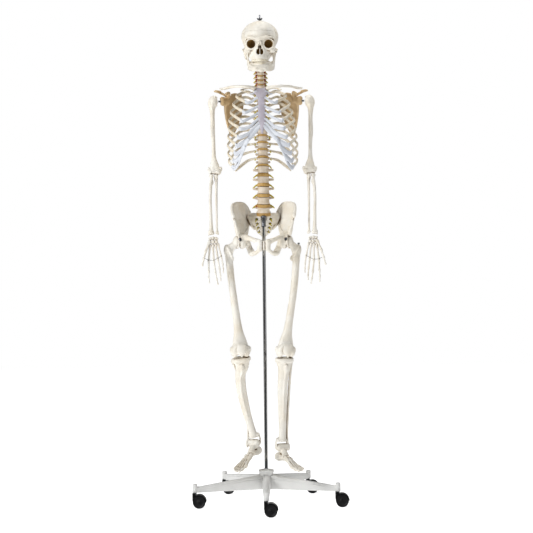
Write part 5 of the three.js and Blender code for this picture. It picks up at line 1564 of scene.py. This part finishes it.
def hood_piece(i, around, stem):
    """The hood over a caster's wheels, and its steel stem."""
    outline = [(-24, 31), (-24, 4), (-20, -0.5), (-8, -7), (6, -7), (25, 0)]
    outline += [(26 * math.cos(a), 26 * math.sin(a)) for a in np.linspace(0.08, 0.62 * math.pi, 18)]
    outline += [(-14, 30.6), (-23, 31.2)]
    half = 17.9
    body = bpy.data.meshes.new("hood")
    work = bmesh.new()
    layers = []
    for y, share in [(-half, 0.94), (-half + 1.4, 1.0), (half - 1.4, 1.0), (half, 0.94)]:
        layers.append([work.verts.new((x * share, y, 2 + (z - 2) * share)) for x, z in outline])
    count = len(outline)
    for a, b in zip(layers, layers[1:]):
        for k in range(count):
            n = (k + 1) % count
            work.faces.new((a[k], a[n], b[n], b[k]))
    work.faces.new(layers[0][::-1])
    work.faces.new(layers[-1])
    bmesh.ops.recalc_face_normals(work, faces=work.faces)
    work.to_mesh(body)
    work.free()
    made = bpy.data.objects.new(f"caster_hood_body_{i}", body)
    bpy.context.scene.collection.objects.link(made)
    for k, s in enumerate((-1, 1)):
        room = bpy.data.meshes.new("room")
        vertices, faces = lathe([(0, 6.6), (24.2, 6.6), (24.2, 30), (0, 30)], 48)
        vertices = vertices[:, [0, 2, 1]] * (1, s, 1)
        room.from_pydata(vertices.tolist(), [], flipped(faces) if s > 0 else faces)
        tool = bpy.data.objects.new("room", room)
        bpy.context.scene.collection.objects.link(tool)
        cut = made.modifiers.new("room", "BOOLEAN")
        cut.operation, cut.solver, cut.object = "DIFFERENCE", "EXACT", tool
        made["room_%d" % k] = tool.name
    bpy.context.view_layer.update()
    solid = bpy.data.meshes.new_from_object(made.evaluated_get(bpy.context.evaluated_depsgraph_get()))
    for k in range(2):
        bpy.data.objects.remove(bpy.data.objects[made["room_%d" % k]])
    bpy.data.objects.remove(made)
    vertices = np.array([v.co[:] for v in solid.vertices])
    faces = [list(p.vertices) for p in solid.polygons]
    shell = on_stand(f"caster_hood_body_{i}", (vertices, faces), BLACK, f"caster_hood_{i}",
                     f"caster_hood_{i}", around)
    shell.data.set_sharp_from_angle(angle=math.radians(35))
    pin = lathe([(0, 50), (5.6, 50), (6, 50.4), (6, 53.4), (5.6, 54), (4, 54.2), (4, 76), (3.4, 79), (0, 80)],
                24)
    on_stand(f"caster_stem_{i}", pin, STEEL, f"caster_hood_{i}", (), stem)


stand()


# ---- Camera, light and floor ----
FOCAL_LENGTH, SENSOR_WIDTH = 99.7, 36  # mm
CAMERA_SIDE, CAMERA_DISTANCE, CAMERA_HEIGHT = 0.0085, 5.333, 0.9376  # m, from the pole's foot
CAMERA_DIP, CAMERA_ROLL = 0.858, -0.6  # degrees
AIM = Vector((0, 0, 0.95))  # where every lamp points
LAMPS = (  # name, place and width in m, and watts
    ("key", (-3.0, -2.0, 2.4), 1.2, 98),
    ("fill", (2.6, -2.4, 1.2), 2.0, 7),
    ("top", (0.6, 0.2, 3.4), 1.6, 40),
)
ROOM_LIGHT = 0.17
FLOOR_HALF_WIDTH = 6.0
FLOOR_GLOW = 0.85  # enough to bring the pale floor up to the white behind it


def camera():
    lens = bpy.data.cameras.new("camera")
    lens.lens, lens.sensor_width = FOCAL_LENGTH, SENSOR_WIDTH
    seen = bpy.data.objects.new("camera", lens)
    bpy.context.scene.collection.objects.link(seen)
    place = Matrix.Translation((POLE.x + CAMERA_SIDE, POLE.y - CAMERA_DISTANCE, CAMERA_HEIGHT))
    tilt, roll = math.radians(90 - CAMERA_DIP), math.radians(CAMERA_ROLL)
    seen.matrix_world = place @ Matrix.Rotation(tilt, 4, "X") @ Matrix.Rotation(roll, 4, "Z")
    bpy.context.scene.camera = seen


def studio():
    world = bpy.data.worlds.new("studio")
    bpy.context.scene.world = world
    world.use_nodes = True
    tree = world.node_tree
    light = tree.nodes["Background"]
    towards = tree.nodes.new("ShaderNodeSeparateXYZ")
    tree.links.new(tree.nodes.new("ShaderNodeTexCoord").outputs["Generated"], towards.inputs[0])
    front = tree.nodes.new("ShaderNodeMapRange")  # the room is dark in front, which shows in the steel
    front.inputs["From Min"].default_value, front.inputs["From Max"].default_value = -0.72, -0.97
    tree.links.new(towards.outputs["Y"], front.inputs["Value"])
    tree.links.new(mix_colour(tree, front.outputs["Result"], (1, 1, 1, 1), (0.02, 0.02, 0.02, 1)),
                   light.inputs["Color"])
    light.inputs["Strength"].default_value = ROOM_LIGHT
    seen = tree.nodes.new("ShaderNodeBackground")
    seen.inputs["Color"].default_value = (1, 1, 1, 1)
    path = tree.nodes.new("ShaderNodeLightPath")
    either = tree.nodes.new("ShaderNodeMixShader")
    tree.links.new(path.outputs["Is Camera Ray"], either.inputs[0])
    tree.links.new(light.outputs[0], either.inputs[1])
    tree.links.new(seen.outputs[0], either.inputs[2])
    tree.links.new(either.outputs[0], tree.nodes["World Output"].inputs["Surface"])
    for name, place, size, power in LAMPS:
        lamp = bpy.data.lights.new(name, "AREA")
        lamp.shape, lamp.size, lamp.energy = "DISK", size, power
        made = bpy.data.objects.new(name, lamp)
        made.location = place
        aim = AIM - made.location
        made.rotation_euler = aim.to_track_quat("-Z", "Y").to_euler()
        bpy.context.scene.collection.objects.link(made)
        made.visible_glossy = name != "top"


def floor():
    material = bpy.data.materials.new("floor")
    material.use_nodes = True
    tree = material.node_tree
    matt = tree.nodes["Principled BSDF"]
    matt.inputs["Base Color"].default_value = (0.8, 0.8, 0.8, 1)
    matt.inputs["Roughness"].default_value = 0.9
    matt.inputs["Emission Color"].default_value = (1, 1, 1, 1)
    matt.inputs["Emission Strength"].default_value = FLOOR_GLOW
    mesh = bpy.data.meshes.new("floor")
    half = FLOOR_HALF_WIDTH
    mesh.from_pydata([(-half, -half, 0), (half, -half, 0), (half, half, 0), (-half, half, 0)], [],
                     [(0, 1, 2, 3)])
    mesh.materials.append(material)
    made = bpy.data.objects.new("floor", mesh)
    bpy.context.scene.collection.objects.link(made)
    made.visible_glossy = False


camera()
studio()
floor()
bpy.context.scene.view_settings.view_transform = "Standard"
